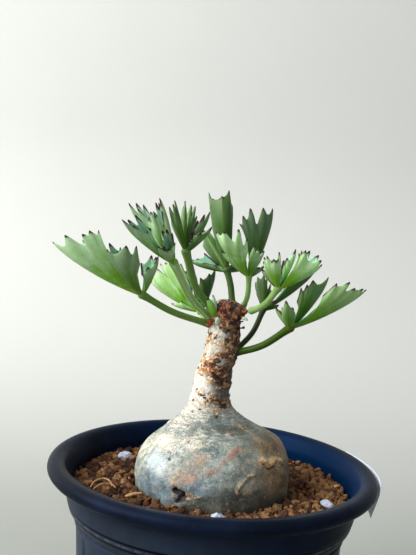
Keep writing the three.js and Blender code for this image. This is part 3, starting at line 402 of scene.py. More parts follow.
# Young shoots as scales of (foot, tip, radius), and a scale's outline as (half width, share of its length)
BUDS = {
    "bud_left": [((-2.8, -3.8, 138.2), (-5.2, -6.3, 144.4), 1.3),
                 ((-2.8, -3, 138.5), (-3.6, -3, 145.4), 0.9)],
    "bud_front": [((-1.6, -4.8, 135.8), (-1, -7, 138.7), 0.8)],
    "bud_right": [((6.2, -3.7, 138.3), (8.1, -4.7, 137.9), 0.6)],
}
BUD_OUTLINE = [(0, 0.0), (0.5, 0.06), (0.75, 0.14), (0.95, 0.28), (1, 0.42), (0.92, 0.58), (0.74, 0.74),
               (0.5, 0.86), (0.28, 0.94), (0.12, 0.98), (0, 1.0)]
BUD_STEPS, BUD_SIDES = 26, 20


# Helpers

def lerp(a, b, share):
    return a + (b - a) * share


def smooth(x, low, high):
    share = np.clip((np.asarray(x, float) - low) / (high - low), 0, 1)
    return share * share * (3 - 2 * share)


def bell(x, width):
    return math.exp(-(x / width) ** 2)


def along(points, position):
    """Value of a curve of (position, value) points, eased from each point to the next."""
    if position <= points[0][0]:
        return points[0][1]
    for (start, first), (end, last) in zip(points, points[1:]):
        if position <= end:
            return first + (last - first) * float(smooth(position, start, end))
    return points[-1][1]


def catmull(points, count):
    """Dense points of a uniform Catmull-Rom curve through these points."""
    ring = np.array(points, float)
    last = len(ring) - 1
    curve = []
    for step in range(count + 1):
        place = last * step / count
        k = min(int(place), last - 1)
        t = place - k
        p0, p1, p2, p3 = ring[max(k - 1, 0)], ring[k], ring[k + 1], ring[min(k + 2, last)]
        v0, v1 = (p2 - p0) / 2, (p3 - p1) / 2
        curve.append((2 * p1 - 2 * p2 + v0 + v1) * t ** 3 + (3 * p2 - 3 * p1 - 2 * v0 - v1) * t ** 2
                     + v0 * t + p1)
    return np.array(curve)


def respaced(curve, spacing):
    """The curve's points, spaced anew: spacing(point) is the wanted distance to the next one."""
    steps = np.linalg.norm(np.diff(curve, axis=0), axis=1)
    reach = np.concatenate([[0], np.cumsum(steps)])
    places = [0.0]
    while places[-1] < reach[-1]:
        places.append(places[-1] + spacing([np.interp(places[-1], reach, line) for line in curve.T]))
    places = np.array(places) * reach[-1] / places[-1]
    return np.stack([np.interp(places, reach, line) for line in curve.T], 1)


def grid_faces(rows, columns, closed=False, start=0):
    """Quads of a grid of rows of points; closed joins the last column to the first."""
    width = columns if closed else columns + 1
    faces = []
    for row in range(rows):
        low = start + row * width
        for column in range(columns):
            after = (column + 1) % width
            faces.append((low + column, low + after, low + width + after, low + width + column))
    return faces


def tube_faces(rings, sides):
    """Faces of a tube of closed rings, with a cap on both ends."""
    last = (rings - 1) * sides
    return grid_faces(rings - 1, sides, closed=True) + [
        tuple(reversed(range(sides))), tuple(range(last, last + sides))]


def slab_faces(rows, width):
    """Faces of a thin slab: a grid of points, the same grid behind it, and the walls round their rim."""
    back = rows * width
    rim = [*range(width)] + [row * width + width - 1 for row in range(1, rows)]
    rim += [back - width + column for column in range(width - 2, -1, -1)]
    rim += [row * width for row in range(rows - 2, 0, -1)]
    return (grid_faces(rows - 1, width - 1)
            + [tuple(reversed(face)) for face in grid_faces(rows - 1, width - 1, start=back)]
            + [(b, a, a + back, b + back) for a, b in zip(rim, rim[1:] + rim[:1])])


def icosphere(level, radius=1.0):
    """Points and faces of a round ball."""
    ball = bmesh.new()
    bmesh.ops.create_icosphere(ball, subdivisions=level, radius=radius)
    points = [vertex.co.copy() for vertex in ball.verts]
    faces = [tuple(vertex.index for vertex in face.verts) for face in ball.faces]
    ball.free()
    return points, faces


def strand(points, radii, sides=8, flatten=1.0):
    """Points and faces of a closed strand along these points."""
    curve = [Vector(point) for point in points]
    made = []
    side = Vector((0, 0, 1)).cross(curve[1] - curve[0])
    side = side.normalized() if side.length > 1e-6 else Vector((1, 0, 0))
    for k, centre in enumerate(curve):
        ahead = (curve[min(k + 1, len(curve) - 1)] - curve[max(k - 1, 0)]).normalized()
        side = (side - ahead * side.dot(ahead)).normalized()
        up = ahead.cross(side)
        for corner in range(sides):
            angle = math.tau * corner / sides
            made.append(centre + side * (math.cos(angle) * radii[k])
                        + up * (math.sin(angle) * radii[k] * flatten))
    return made, tube_faces(len(curve), sides)


class Shell:
    """Points, faces and point values of a mesh that is put together from several shapes."""

    def __init__(self):
        self.points, self.faces, self.values = [], [], {}

    def add(self, points, faces, **values):
        start = len(self.points)
        self.points.extend(tuple(map(float, point)) for point in points)
        self.faces.extend(tuple(start + k for k in face) for face in faces)
        for name in {**self.values, **values}:
            column = self.values.setdefault(name, [0.0] * start)
            value = values.get(name, 0.0)
            column.extend([float(value)] * len(points) if np.isscalar(value) else map(float, value))

    def object(self, name, material):
        mesh = bpy.data.meshes.new(name)
        mesh.from_pydata([(x * MM, y * MM, z * MM) for x, y, z in self.points], [], self.faces)
        for key, column in self.values.items():
            mesh.attributes.new(key, "FLOAT", "POINT").data.foreach_set("value", column)
        mesh.polygons.foreach_set("use_smooth", [True] * len(mesh.polygons))
        mesh.materials.append(material)
        mesh.update()
        made = bpy.data.objects.new(name, mesh)
        bpy.context.scene.collection.objects.link(made)
        return made

    def piece(self, name, node, slot, material):
        piece = self.object(name, material)
        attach(piece, "root")
        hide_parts(node)
        return piece


def srgb(*colour):
    """Linear colour, with its alpha, of an sRGB one."""
    return (*(c / 12.92 if c <= 0.04045 else ((c + 0.055) / 1.055) ** 2.4
              for c in (part / 255 for part in colour)), 1)


class Shader:
    """A node material, built from small calls, with object coordinates in millimetres.

    A value is a node's output, a number, an sRGB colour, or the name of a value kept at the mesh's points.
    The sockets named at the start are set as they are, with any colour linear.
    """

    def __init__(self, name, **sockets):
        self.material = bpy.data.materials.new(name)
        self.material.use_nodes = True
        self.tree = self.material.node_tree
        self.tree.nodes.clear()
        self.surface = self.node("ShaderNodeBsdfPrincipled")
        self.tree.links.new(self.surface.outputs[0], self.node("ShaderNodeOutputMaterial").inputs[0])
        for key, value in sockets.items():
            self.surface.inputs[key.replace("_", " ")].default_value = value
        scaled = self.node("ShaderNodeVectorMath", operation="SCALE")
        scaled.inputs["Scale"].default_value = 1 / MM
        self.tree.links.new(self.node("ShaderNodeTexCoord").outputs["Object"], scaled.inputs[0])
        self.place = scaled.outputs[0]
        self.colour = None

    def node(self, kind, **settings):
        made = self.tree.nodes.new(kind)
        for key, value in settings.items():
            setattr(made, key, value)
        return made

    def plug(self, socket, value):
        if isinstance(value, str):
            value = self.node("ShaderNodeAttribute", attribute_name=value).outputs["Fac"]
        if isinstance(value, bpy.types.NodeSocket):
            self.tree.links.new(value, socket)
        else:
            socket.default_value = srgb(*value) if socket.type == "RGBA" else value

    def filled(self, made, *values):
        """The node's output, once its first inputs have these values."""
        for socket, value in zip(made.inputs, values):
            self.plug(socket, value)
        return made.outputs[0]

    def stretched(self, x, y, z):
        return self.filled(self.node("ShaderNodeVectorMath", operation="MULTIPLY"), self.place, (x, y, z))

    def warped(self, scale, swing):
        """Coordinates that a noise of this scale swings by up to this far."""
        bending = self.node("ShaderNodeTexNoise")
        self.plug(bending.inputs["Vector"], self.place)
        bending.inputs["Scale"].default_value = scale
        return self.filled(self.node("ShaderNodeVectorMath", operation="MULTIPLY_ADD"),
                           bending.outputs["Color"], (swing,) * 3, self.place)

    def level(self, height, half_width):
        """1 at a height, and 0 from half_width away on."""
        split = self.node("ShaderNodeSeparateXYZ")
        self.plug(split.inputs[0], self.place)
        away = self.math("SUBTRACT", split.outputs["Z"], height)
        return self.span(self.times(away, away), half_width ** 2, 0)

    def noise(self, scale, detail=3.0, roughness=0.55, distortion=0.0, place=None):
        made = self.node("ShaderNodeTexNoise")
        self.plug(made.inputs["Vector"], place or self.place)
        for key, value in (("Scale", scale), ("Detail", detail), ("Roughness", roughness),
                           ("Distortion", distortion)):
            made.inputs[key].default_value = value
        return made.outputs["Fac"]

    def cells(self, scale, feature="F1", place=None):
        made = self.node("ShaderNodeTexVoronoi", feature=feature)
        self.plug(made.inputs["Vector"], place or self.place)
        made.inputs["Scale"].default_value = scale
        return made.outputs["Distance"]

    def math(self, operation, *values, clamp=False):
        return self.filled(self.node("ShaderNodeMath", operation=operation, use_clamp=clamp), *values)

    def times(self, first, *others):
        for other in others:
            first = self.math("MULTIPLY", first, other)
        return first

    def sum(self, *terms):
        """Sum of terms, each given as (value, weight)."""
        total = 0.0
        for value, weight in terms:
            total = self.math("MULTIPLY_ADD", value, weight, total)
        return total

    def span(self, value, low, high, to_low=0.0, to_high=1.0):
        """value from low to high becomes to_low to to_high, eased and held at the ends."""
        return self.filled(self.node("ShaderNodeMapRange", interpolation_type="SMOOTHSTEP"),
                           value, low, high, to_low, to_high)

    def ramp(self, value, *stops):
        """Colour for a value, between stops of (value, colour)."""
        made = self.node("ShaderNodeValToRGB")
        points = made.color_ramp.elements
        while len(points) < len(stops):
            points.new(0.5)
        for point, (position, colour) in zip(points, stops):
            point.position = position
            point.color = srgb(*colour)
        return self.filled(made, value)

    def mix(self, share, first, second):
        made = self.node("ShaderNodeMix", data_type="RGBA")
        for k, value in ((0, share), (6, first), (7, second)):
            self.plug(made.inputs[k], value)
        return made.outputs[2]

    def coat(self, colour, *shares):
        """Lays a colour over the material's, as far as the product of the shares says."""
        self.colour = self.mix(self.times(*shares), self.colour, colour)

    def finish(self, roughness=None, *bumps):
        """Sets colour and roughness, and stacks bumps given as (height, strength, depth in mm)."""
        self.plug(self.surface.inputs["Base Color"], self.colour)
        if roughness is not None:
            self.plug(self.surface.inputs["Roughness"], roughness)
        normal = None
        for height, strength, depth in bumps:
            made = self.node("ShaderNodeBump")
            made.inputs["Strength"].default_value = strength
            made.inputs["Distance"].default_value = depth * MM
            self.plug(made.inputs["Height"], height)
            if normal is not None:
                self.plug(made.inputs["Normal"], normal)
            normal = made.outputs[0]
        if normal is not None:
            self.plug(self.surface.inputs["Normal"], normal)
        return self.material


# Materials

def plastic_material():
    mat = Shader("moulded_plastic", Roughness=0.33, Specular_IOR_Level=0.06, Specular_Tint=(0.32, 0.5, 1, 1))
    large, fine, dust = mat.noise(0.05, 3), mat.noise(2.2, 4), mat.noise(0.6, 6, 0.7)
    scuffs = mat.noise(0.35, 5, 0.75, 0.6, mat.stretched(1, 1, 0.25))
    mat.colour = mat.mix(mat.span(large, 0.35, 0.7), (11, 16, 27), (18, 27, 45))
    # Dust on one patch of the wall and on the lip's wear
    mat.coat((78, 90, 108), "dust_and_sheen", mat.span(scuffs, 0.3, 0.7, 0.8, 1))
    # Painted highlight: pale blue streaks on the lip's wear
    mat.coat((132, 150, 178), mat.span("dust_and_sheen", 0.3, 0.6), mat.span(scuffs, 0.42, 0.6, 0, 0.7))
    # Painted light: the pot's inside is bluer on its lit side
    mat.coat((2, 32, 66), "inside")
    mat.coat((84, 92, 106), mat.span(dust, 0.54, 0.8, 0, 0.05))
    mat.coat((76, 86, 102), mat.span(scuffs, 0.66, 0.74, 0, 0.12))
    # Painted shade in two dark lines at the collar's foot and a painted highlight on the bead between them,
    # and a wear line along the lip's lower edge
    for height, half_width in ((77.7, 0.55), (79.7, 0.5)):
        mat.coat((3, 5, 9), mat.level(height, half_width), "outer")
    for height, half_width, most in ((78.7, 0.4, 0.4), (88.9, 0.6, 0.6)):
        mat.coat((112, 126, 146), mat.level(height, half_width), "outer",
                 mat.span(scuffs, 0.4, 0.6, 0, most))
    return mat.finish(mat.span(fine, 0.3, 0.7, 0.34, 0.48), (fine, 0.12, 0.05), (large, 0.1, 0.4))


def soil_material():
    mat = Shader("clay_grain", Roughness=0.95)
    patch, fine = mat.noise(0.9, 4, 0.6), mat.noise(4.0, 5, 0.7)
    mat.colour = mat.ramp(
        mat.sum(("tone", 0.6), (patch, 0.4)), (0.12, (40, 18, 8)), (0.36, (80, 44, 22)),
        (0.58, (126, 84, 48)), (0.76, (168, 122, 76)), (0.95, (208, 164, 116)),
    )
    mat.coat((44, 22, 12), mat.span(fine, 0.52, 0.34, 0, 0.8))
    mat.coat((196, 154, 110), mat.span(fine, 0.58, 0.75, 0, 0.4))
    mat.coat((96, 40, 18), "fines")
    # Painted shade in the gaps between grains: on their lower parts and on the bed beneath
    mat.coat((22, 12, 8), "deep")
    return mat.finish(None, (fine, 1.0, 0.7), (patch, 1.0, 0.9))


def skin_material():
    """Caudex skin: mottled grey-green with blue, pink and tan areas, and flaking bark on the stem.
    It has creamy painted light and a painted highlight on its lit side, and painted shade.
    """
    mat = Shader("caudex_skin", Roughness=0.6)
    broad, mottle = mat.noise(0.14, 3, 0.6), mat.noise(0.5, 5, 0.68, 0.3)
    speckle, grit = mat.noise(1.9, 4, 0.7), mat.noise(6.0, 3, 0.7)
    rough = mat.sum((mottle, 0.55), (speckle, 0.45))
    wander = mat.math("SUBTRACT", rough, 0.5)

    def area(name, ragged, low, high, most=1.0):
        """Share of a listed area, with an edge that the noise breaks up."""
        return mat.span(mat.sum((name, 1), (wander, ragged)), low, high, 0, most)

    tone = mat.sum((broad, 0.35), (rough, 0.65))
    mat.colour = mat.ramp(
        tone, (0.38, (70, 82, 78)), (0.45, (112, 122, 114)), (0.51, (146, 155, 148)),
        (0.56, (188, 190, 176)), (0.62, (230, 224, 204)),
    )
    for edge, dark, pale in (
        (("olive", 1.4, 0.1, 0.75, 0.9), (84, 62, 32), (152, 122, 78)),
        (("blue", 1.6, 0.15, 0.8, 0.85), (62, 88, 106), (128, 152, 164)),
        # Painted shade
        (("painted_shade", 1.8, 0.1, 0.6, 0.95), (38, 46, 44), (96, 102, 94)),
    ):
        mat.coat(mat.mix(mat.span(tone, 0.4, 0.62), dark, pale), area(*edge))
    # Painted light on the lit left side
    mat.coat((232, 224, 206), area("painted_light_cream", 3.4, 0.2, 1.1, 0.85))
    # Painted highlight
    mat.coat((192, 206, 214), area("painted_highlight", 2.4, 0.3, 1.0, 0.7))
    mat.coat((170, 130, 104), area("pink", 5.0, 0.35, 1.4, 0.8))
    mat.coat(mat.mix(mat.span(speckle, 0.36, 0.6), (146, 110, 68), (218, 184, 138)),
             area("tan", 1.8, 0.4, 0.8, 0.9))
    mat.coat(mat.mix(mat.span(grit, 0.4, 0.6), (112, 68, 54), (178, 132, 112)),
             area("wound", 4.4, 0.25, 0.85, 0.85))
    # Small pits with a pale or tan ring
    specks = mat.cells(0.36)
    gate = mat.times(mat.span(mat.noise(0.2, 2), 0.5, 0.6), mat.math("SUBTRACT", 1.0, "bark", clamp=True))
    mat.coat((206, 176, 132), mat.span(specks, 0.34, 0.14, 0, 0.4), gate)
    mat.coat((92, 58, 40), mat.span(specks, 0.15, 0.06, 0, 0.8), gate)
    # Fine dark freckles, pale scurf and hairline cracks
    veil = mat.noise(3.0, 6, 0.8)
    mat.coat((62, 62, 50), mat.span(veil, 0.48, 0.34, 0, 0.85))
    mat.coat((226, 220, 204), mat.span(veil, 0.54, 0.7, 0, 0.6))
    lines = mat.cells(0.22, "DISTANCE_TO_EDGE", mat.warped(0.35, 5.0))
    mat.coat((84, 74, 58), mat.span(lines, 0.045, 0.0, 0, 0.6), mat.span(mottle, 0.42, 0.56))
    # Stem with painted light and shade: pale on its lit side and dusky on the other, and its streaked neck
    stem_tone = mat.sum((mottle, 0.5), (speckle, 0.5))
    lit = mat.ramp(stem_tone, (0.34, (170, 158, 136)), (0.46, (214, 208, 192)), (0.58, (244, 240, 230)))
    dusky = mat.ramp(stem_tone, (0.36, (42, 32, 28)), (0.5, (82, 66, 54)), (0.64, (134, 116, 98)))
    mat.coat(mat.mix(area("dusk", 0.8, 0.25, 0.8, 0.95), lit, dusky), "stem", 0.92)
    streaks = mat.noise(1.0, 5, 0.75, 0.0, mat.stretched(0.3, 0.3, 2.6))
    mat.coat((76, 88, 94), "neck", mat.span(streaks, 0.54, 0.42, 0, 0.65))
    mat.coat((216, 206, 182), "neck", mat.span(streaks, 0.6, 0.72, 0, 0.4))
    # Flaking bark: plates of their own tone, of which the areas cover more or fewer
    crumble = mat.noise(2.6, 5, 0.75)
    covered = mat.span(mat.sum(("bark", 1), ("plate", 0.75), (crumble, 0.7)), 1.3, 1.38)
    bark_tone = mat.sum(("plate", 0.35), (crumble, 0.65))
    bark = mat.ramp(
        bark_tone, (0.32, (40, 16, 12)), (0.43, (96, 46, 26)), (0.51, (152, 88, 50)),
        (0.6, (212, 156, 100)), (0.72, (242, 216, 172)),
    )
    # Painted shade on the bark of the stem's dark side
    bark = mat.mix(mat.times("dusk", 0.6), bark, (58, 36, 26))
    crown_bark = mat.ramp(bark_tone, (0.34, (40, 16, 18)), (0.5, (104, 48, 34)), (0.66, (172, 104, 70)))
    mat.coat(mat.mix(mat.times("crown", 0.85), bark, crown_bark), covered)
    mat.coat((48, 26, 20), area("dark", 1.0, 0.4, 0.65, 0.9))
    mat.coat(mat.mix(mat.span(speckle, 0.4, 0.6), (92, 32, 10), (176, 84, 34)), area("rust", 0.8, 0.3, 0.6))
    mat.coat((52, 28, 20), "crack")
    # Painted shade inside the sunken hole
    mat.coat((34, 16, 24), area("hole", 0.6, 0.35, 0.55))
    # Darker towards the soil
    mat.coat((54, 46, 34), "base", 0.7)
    return mat.finish(mat.span(speckle, 0.3, 0.7, 0.48, 0.72), (grit, 0.3, 0.08), (speckle, 0.5, 0.25),
                      (mottle, 0.3, 0.5), (covered, 0.6, 0.25))


def leaf_material():
    mat = Shader("leaf_flesh", Roughness=0.42, Specular_IOR_Level=0.25, Subsurface_Weight=0.1,
                 Subsurface_Radius=(0.4, 0.8, 0.2), Subsurface_Scale=0.001)
    broad, fine = mat.noise(0.2, 3), mat.noise(3.0, 4, 0.6)
    # Petiole, with pale stripes and its groove
    mat.colour = mat.mix("pale", (70, 106, 0), (150, 188, 112))
    stripes = mat.noise(0.5, 4, 0.6, 0.0, mat.stretched(1, 1, 0.3))
    mat.coat((96, 130, 22), mat.span(stripes, 0.35, 0.7, 0, 0.4))
    # Painted shade in the groove, and a painted highlight on its ridges
    mat.coat((62, 88, 48), mat.span("groove", 0.1, 0.8, 0, 0.7))
    mat.coat((184, 208, 150), mat.span("groove", -0.1, -0.7, 0, 0.7))
    # Painted shade on the petioles of shaded leaves, less on pale ones
    mat.coat((24, 46, 6), mat.math("SUBTRACT", "shade", "pale", clamp=True), 0.9)
    stalk = mat.colour
    # Blade, from its joint to its tip, with a waxy bloom and faint veins that fan out
    veins = mat.noise(1.0, 4, 0.6, 0.0, mat.filled(mat.node("ShaderNodeCombineXYZ"), "fan", "reach"))
    blade = mat.sum(("reach", 1), (mat.math("SUBTRACT", broad, 0.5), 0.5))
    mat.colour = mat.ramp(blade, (0.04, (152, 180, 12)), (0.22, (116, 172, 16)), (0.5, (128, 190, 50)),
                          (0.95, (186, 232, 144)))
    inner = mat.ramp(blade, (0.05, (102, 168, 72)), (0.4, (100, 178, 126)), (0.95, (152, 222, 196)))
    mat.coat(inner, "inner")
    waxy = mat.span(mat.sum((broad, 0.6), (veins, 0.4)), 0.48, 0.66, 0, 0.5)
    mat.coat((214, 246, 216), "bloom", mat.math("ADD", mat.span(blade, 0.3, 1.1), waxy), 0.7)
    mat.coat((176, 200, 118), mat.span(veins, 0.5, 0.64, 0, 0.14))
    mat.coat((66, 122, 14), mat.span(veins, 0.48, 0.32, 0, 0.22))
    # Painted shade on shaded leaves and leaflets, less on their inner faces
    mat.coat((26, 66, 0), "shade", mat.span("inner", 0, 1, 0.88, 0.35))
    mat.coat((150, 176, 92), "rib", 0.08)
    mat.coat(stalk, "stalk")
    mat.coat((84, 74, 52), mat.span("edge", 0.5, 1.0, 0, 0.3))
    mat.coat((58, 24, 30), mat.span("tooth", 0.2, 0.62))
    mat.coat((42, 64, 24), mat.span(fine, 0.55, 0.3, 0, 0.2))
    return mat.finish(mat.span(fine, 0.3, 0.7, 0.36, 0.5), (fine, 0.2, 0.06), (veins, 0.2, 0.2),
                      (broad, 0.15, 0.5))


def pumice_material():
    mat = Shader("pumice_stone", Roughness=0.92)
    pores, fine = mat.cells(1.6), mat.noise(2.6, 5, 0.7)
    mat.colour = mat.ramp(fine, (0.3, (140, 146, 164)), (0.5, (176, 186, 208)), (0.7, (208, 215, 230)))
    mat.coat((112, 108, 112), mat.span(pores, 0.22, 0.08, 0, 0.6))
    return mat.finish(None, (pores, 0.5, 0.3), (fine, 0.5, 0.25))


def tag_material():
    mat = Shader("tag_film", Roughness=0.25)
    fine = mat.noise(0.5, 3)
    mat.colour = mat.ramp(fine, (0.3, (206, 222, 250)), (0.7, (236, 243, 255)))
    return mat.finish(mat.span(fine, 0.3, 0.7, 0.3, 0.45))


def litter_material():
    mat = Shader("dry_litter", Roughness=0.8)
    fine = mat.noise(1.8, 5, 0.7, 0.0, mat.stretched(0.4, 1, 1))
    mat.colour = mat.ramp(fine, (0.3, (96, 66, 42)), (0.55, (176, 134, 92)), (0.75, (206, 170, 126)))
    return mat.finish(None, (fine, 0.5, 0.15))


def stage_material():
    mat = Shader("pale_backdrop", Roughness=0.9)
    # Painted shade on the floor and painted light on the far wall
    mat.colour = mat.mix("far", (134, 139, 134), (202, 204, 201))
    mat.coat((190, 192, 189), mat.span(mat.noise(0.004, 2), 0.3, 0.7, 0, 0.2))
    return mat.finish()


# Pot

def lip_arc():
    """Profile of the rolled lip."""
    return [(LIP_MIDDLE + (LIP_RADIUS - LIP_MIDDLE) * math.cos(math.radians(angle)),
             POT_HEIGHT - LIP_HALF_HEIGHT * (1 - math.sin(math.radians(angle))))
            for angle in range(-75, 91, 11)]


def rounded(profile, cut):
    """The profile with each corner cut back by up to this length and rounded."""
    points = np.array(profile, float)
    made = [points[0]]
    for before, here, after in zip(points, points[1:], points[2:]):
        back, ahead = before - here, after - here
        size = min(cut, np.linalg.norm(back) * 0.4, np.linalg.norm(ahead) * 0.4)
        start = here + back / np.linalg.norm(back) * size
        end = here + ahead / np.linalg.norm(ahead) * size
        for share in (0, 0.33, 0.67, 1):
            made.append((1 - share) ** 2 * start + 2 * share * (1 - share) * here + share ** 2 * end)
    made.append(points[-1])
    return np.array(made)


def panel_groove(radius, azimuth):
    """Depth of the upright grooves of the pot's wall at a point."""
    turn = (math.degrees(azimuth) - FIRST_GROOVE) % (360 / PANEL_GROOVES)
    turn = min(turn, 360 / PANEL_GROOVES - turn)
    side = radius * math.radians(turn)
    return GROOVE_DEPTH * float(1 - smooth(side, GROOVE_WIDTH * 0.3, GROOVE_WIDTH * 0.6))


def make_pot(material):
    profile = np.concatenate([rounded(POT_OUTSIDE, 0.35), lip_arc(), rounded(POT_INSIDE, 1.2)])
    wall = []
    for (radius, height), (next_radius, next_height) in zip(profile, profile[1:]):
        steps = max(1, int(math.hypot(next_radius - radius, next_height - height) / 3.0))
        wall.extend((lerp(radius, next_radius, k / steps), lerp(height, next_height, k / steps))
                    for k in range(steps))
    wall.append(tuple(profile[-1]))
    half = len(wall) // 2
    points, values = [], {"inside": [], "dust_and_sheen": [], "outer": []}
    for row, (radius, height) in enumerate(wall):
        for column in range(POT_COLUMNS):
            azimuth = 2 * math.pi * column / POT_COLUMNS
            reach = radius
            if row < half and GROOVE_SPAN[0] < height < GROOVE_SPAN[1]:
                reach -= panel_groove(radius, azimuth)
            points.append((reach * math.cos(azimuth), reach * math.sin(azimuth), height))
            # Painted light: the inside is bluer at its lit side. Dust lies on one patch of the wall,
            # and the lip's wear has a painted highlight
            lit = float(smooth(math.cos(azimuth - math.radians(LIT_INSIDE)), -0.5, 0.7))
            lit *= float(smooth(INSIDE_RADIUS - radius, 0, 2))
            patch = 0.26 * float(smooth(math.cos(azimuth + 2.3), 0.2, 1) * smooth(88 - height, 0, 4))
            # Wear on the lip, with a painted highlight
            worn_sheen = 0.6 * bell(math.degrees(azimuth) - WORN_SHEEN_LIP, WORN_SHEEN_HALF_WIDTH)
            worn_sheen *= float(smooth(height, *WORN_SHEEN_SPAN))
            values["inside"].append(lit if row > half else 0.0)
            values["outer"].append(1.0 if row < half else 0.0)
            values["dust_and_sheen"].append(patch + worn_sheen if row < half else 0.0)
    shell = Shell()
    shell.add(points, tube_faces(len(wall), POT_COLUMNS), **values)
    drill_drain_holes(shell.piece("pot_moulding", "pot", "pot", material))


def drill_drain_holes(pot):
    """Cuts the ring of round holes in the pot's floor."""
    cutter = bmesh.new()
    for k in range(DRAIN_HOLES):
        azimuth = 2 * math.pi * k / DRAIN_HOLES
        spot = Vector((math.cos(azimuth), math.sin(azimuth), 0)) * DRAIN_CIRCLE * MM
        bmesh.ops.create_cone(cutter, cap_ends=True, segments=32, radius1=DRAIN_RADIUS * MM,
                              radius2=DRAIN_RADIUS * MM, depth=8 * MM, matrix=Matrix.Translation(spot))
    mesh = bpy.data.meshes.new("drain_cutter")
    cutter.to_mesh(mesh)
    cutter.free()
    tool = bpy.data.objects.new("drain_cutter", mesh)
    bpy.context.scene.collection.objects.link(tool)
    cut = pot.modifiers.new("drain_holes", "BOOLEAN")
    cut.object = tool
    cut.operation = "DIFFERENCE"
    cut.solver = "EXACT"
    depsgraph = bpy.context.evaluated_depsgraph_get()
    drilled = bpy.data.meshes.new_from_object(pot.evaluated_get(depsgraph), depsgraph=depsgraph)
    pot.modifiers.clear()
    pot.data = drilled
    bpy.data.objects.remove(tool)


# Caudex

CAUDEX_CURVE = catmull(CAUDEX_PROFILE, 3000)


def caudex_radius(height):
    return float(np.interp(height, CAUDEX_CURVE[:, 1], CAUDEX_CURVE[:, 0]))


def caudex_points(radius, height, azimuth):
    """Points of the caudex, as in the CAD; the arguments are arrays, with azimuth in radians."""
    push = np.zeros_like(azimuth)
    for angle, level, rise, spread in KNOBS:
        turn = (azimuth - math.radians(angle) + math.pi) % (2 * math.pi) - math.pi
        away = np.hypot(turn * radius, height - level) / spread
        push += rise * np.exp(-away * away)
    bark = 0.16 * np.sin(azimuth * 5 + height * 1.9) * np.sin(height * 1.3 + azimuth * 2)
    lobes = 0.012 * radius * np.sin(azimuth * 2 + 0.7) * smooth(height, 80, 92)
    reach = radius + push + bark * smooth(height, 104, 112) + lobes
    lean = np.array([along(STEM_LEAN, level) for level in height])
    return np.stack([lean + reach * np.cos(azimuth), reach * np.sin(azimuth), height], 1)


def on_caudex(azimuth, height):
    """Point on the caudex's skin at an azimuth in degrees and a height."""
    return caudex_points(np.array([caudex_radius(height)]), np.array([float(height)]),
                         np.array([math.radians(azimuth)]))[0]


def area_shares(marked, azimuth):
    """The share of each area of the skin at each point."""
    side = np.stack([-np.sin(azimuth), np.cos(azimuth), np.zeros_like(azimuth)], 1)
    shares = {name: np.zeros(len(marked)) for name in (*AREAS, "wound")}
    for name, patches in AREAS.items():
        for angle, level, half_width, half_height, strength in patches:
            away = marked - on_caudex(angle, level)
            across = np.einsum("ij,ij->i", away, side)
            upward = np.sqrt(np.maximum(np.einsum("ij,ij->i", away, away) - across ** 2, 0))
            spread = (across / half_width) ** 2 + (upward / half_height) ** 2
            shares[name] = np.maximum(shares[name], strength * np.exp(-0.9 * spread))
    return shares


def carve_scars(scarred, shares):
    """How far the scars stand out at each point; their colour is added to the shares of the areas."""
    relief = np.zeros(len(scarred))
    for path, half_width, rise, name, most in SCARS:
        spots = [on_caudex(*spot) for spot in path]
        nearest = np.full(len(scarred), 1e9)
        for start, end in zip(spots, spots[1:]):
            span = end - start
            share = np.clip((scarred - start) @ span / (span @ span), 0, 1)
            nearest = np.minimum(nearest, np.linalg.norm(scarred - start - share[:, None] * span, axis=1))
        strength = np.exp(-(nearest / half_width) ** 2)
        relief += rise * strength
        shares[name] = np.maximum(shares[name], strength * most)
    return relief


def skin_relief(points, azimuth, heights):
    """How far the skin stands out from the smooth shape, and the share of each area, at each point."""
    noise.seed_set(SKIN_SEED)
    ragged = np.array([
        noise.noise_vector(spot * 0.35) * 1.5 + noise.noise_vector(spot * 1.3) * 0.7
        for spot in map(Vector, points)])
    shares = area_shares(points + ragged * np.where(heights > BARK_FOOT, 0.4, 1.0)[:, None], azimuth)
    relief = carve_scars(points + ragged * 0.22, shares)
    relief -= 1.6 * shares["hole"] ** 2
    relief -= 0.25 * smooth(shares["dark"], 0.4, 0.9) * (heights < NECK_END[0])
    bark = np.clip(shares["bark"] + shares["crown"], 0, 1)
    neck = smooth(heights, *NECK_START) * (1 - smooth(heights, *NECK_END))
    plate, crack = np.zeros(len(points)), np.zeros(len(points))
    for k, spot in enumerate(map(Vector, points)):
        lumps = noise.noise(spot * 0.16) * 0.45 + noise.noise(spot * 0.6) * 0.14
        folds = noise.noise(Vector((spot.x * 0.2, spot.y * 0.2, spot.z * 1.9))) * 0.3 * neck[k]
        relief[k] += (lumps * (0.4 + 0.6 * (heights[k] < STEM_SPAN[0])) + folds
                      + 0.05 * noise.noise(spot * 2.4))
        if heights[k] > BARK_FOOT:
            # Bark plates are cells of their own height and tone, with a crack between them
            bent = Vector((spot.x, spot.y, spot.z * 1.3)) * 0.56 + noise.noise_vector(spot * 0.9) * 0.7
            gaps, centres = noise.voronoi(bent)
            plate[k] = 0.5 + 0.5 * math.sin(centres[0].x * 91.7 + centres[0].y * 47.3 + centres[0].z * 71.9)
            border = float(1 - smooth(gaps[1] - gaps[0], 0.02, 0.13))
            crack[k] = 0.75 * border * bark[k]
            chips = noise.noise(spot * 1.3) + 0.7 * noise.noise(spot * 3.1)
            relief[k] += bark[k] * (0.6 * (plate[k] - 0.35) + 0.25 * chips - 0.3 * border)
        if shares["crown"][k] > 0.1:
            relief[k] += 0.7 * shares["crown"][k] * noise.noise(spot * 0.55)
    stem = smooth(heights, *STEM_SPAN)
    # Painted shade on the stem's side away from the light
    dusk = stem * np.clip(np.cos(azimuth + 0.3), 0, 1) ** 0.7
    shares.update(stem=stem, dusk=dusk, bark=bark, neck=neck, plate=plate, crack=crack,
                  base=0.9 * (1 - smooth(heights + ragged[:, 2], *DARK_FOOT_SPAN)))
    return relief, shares


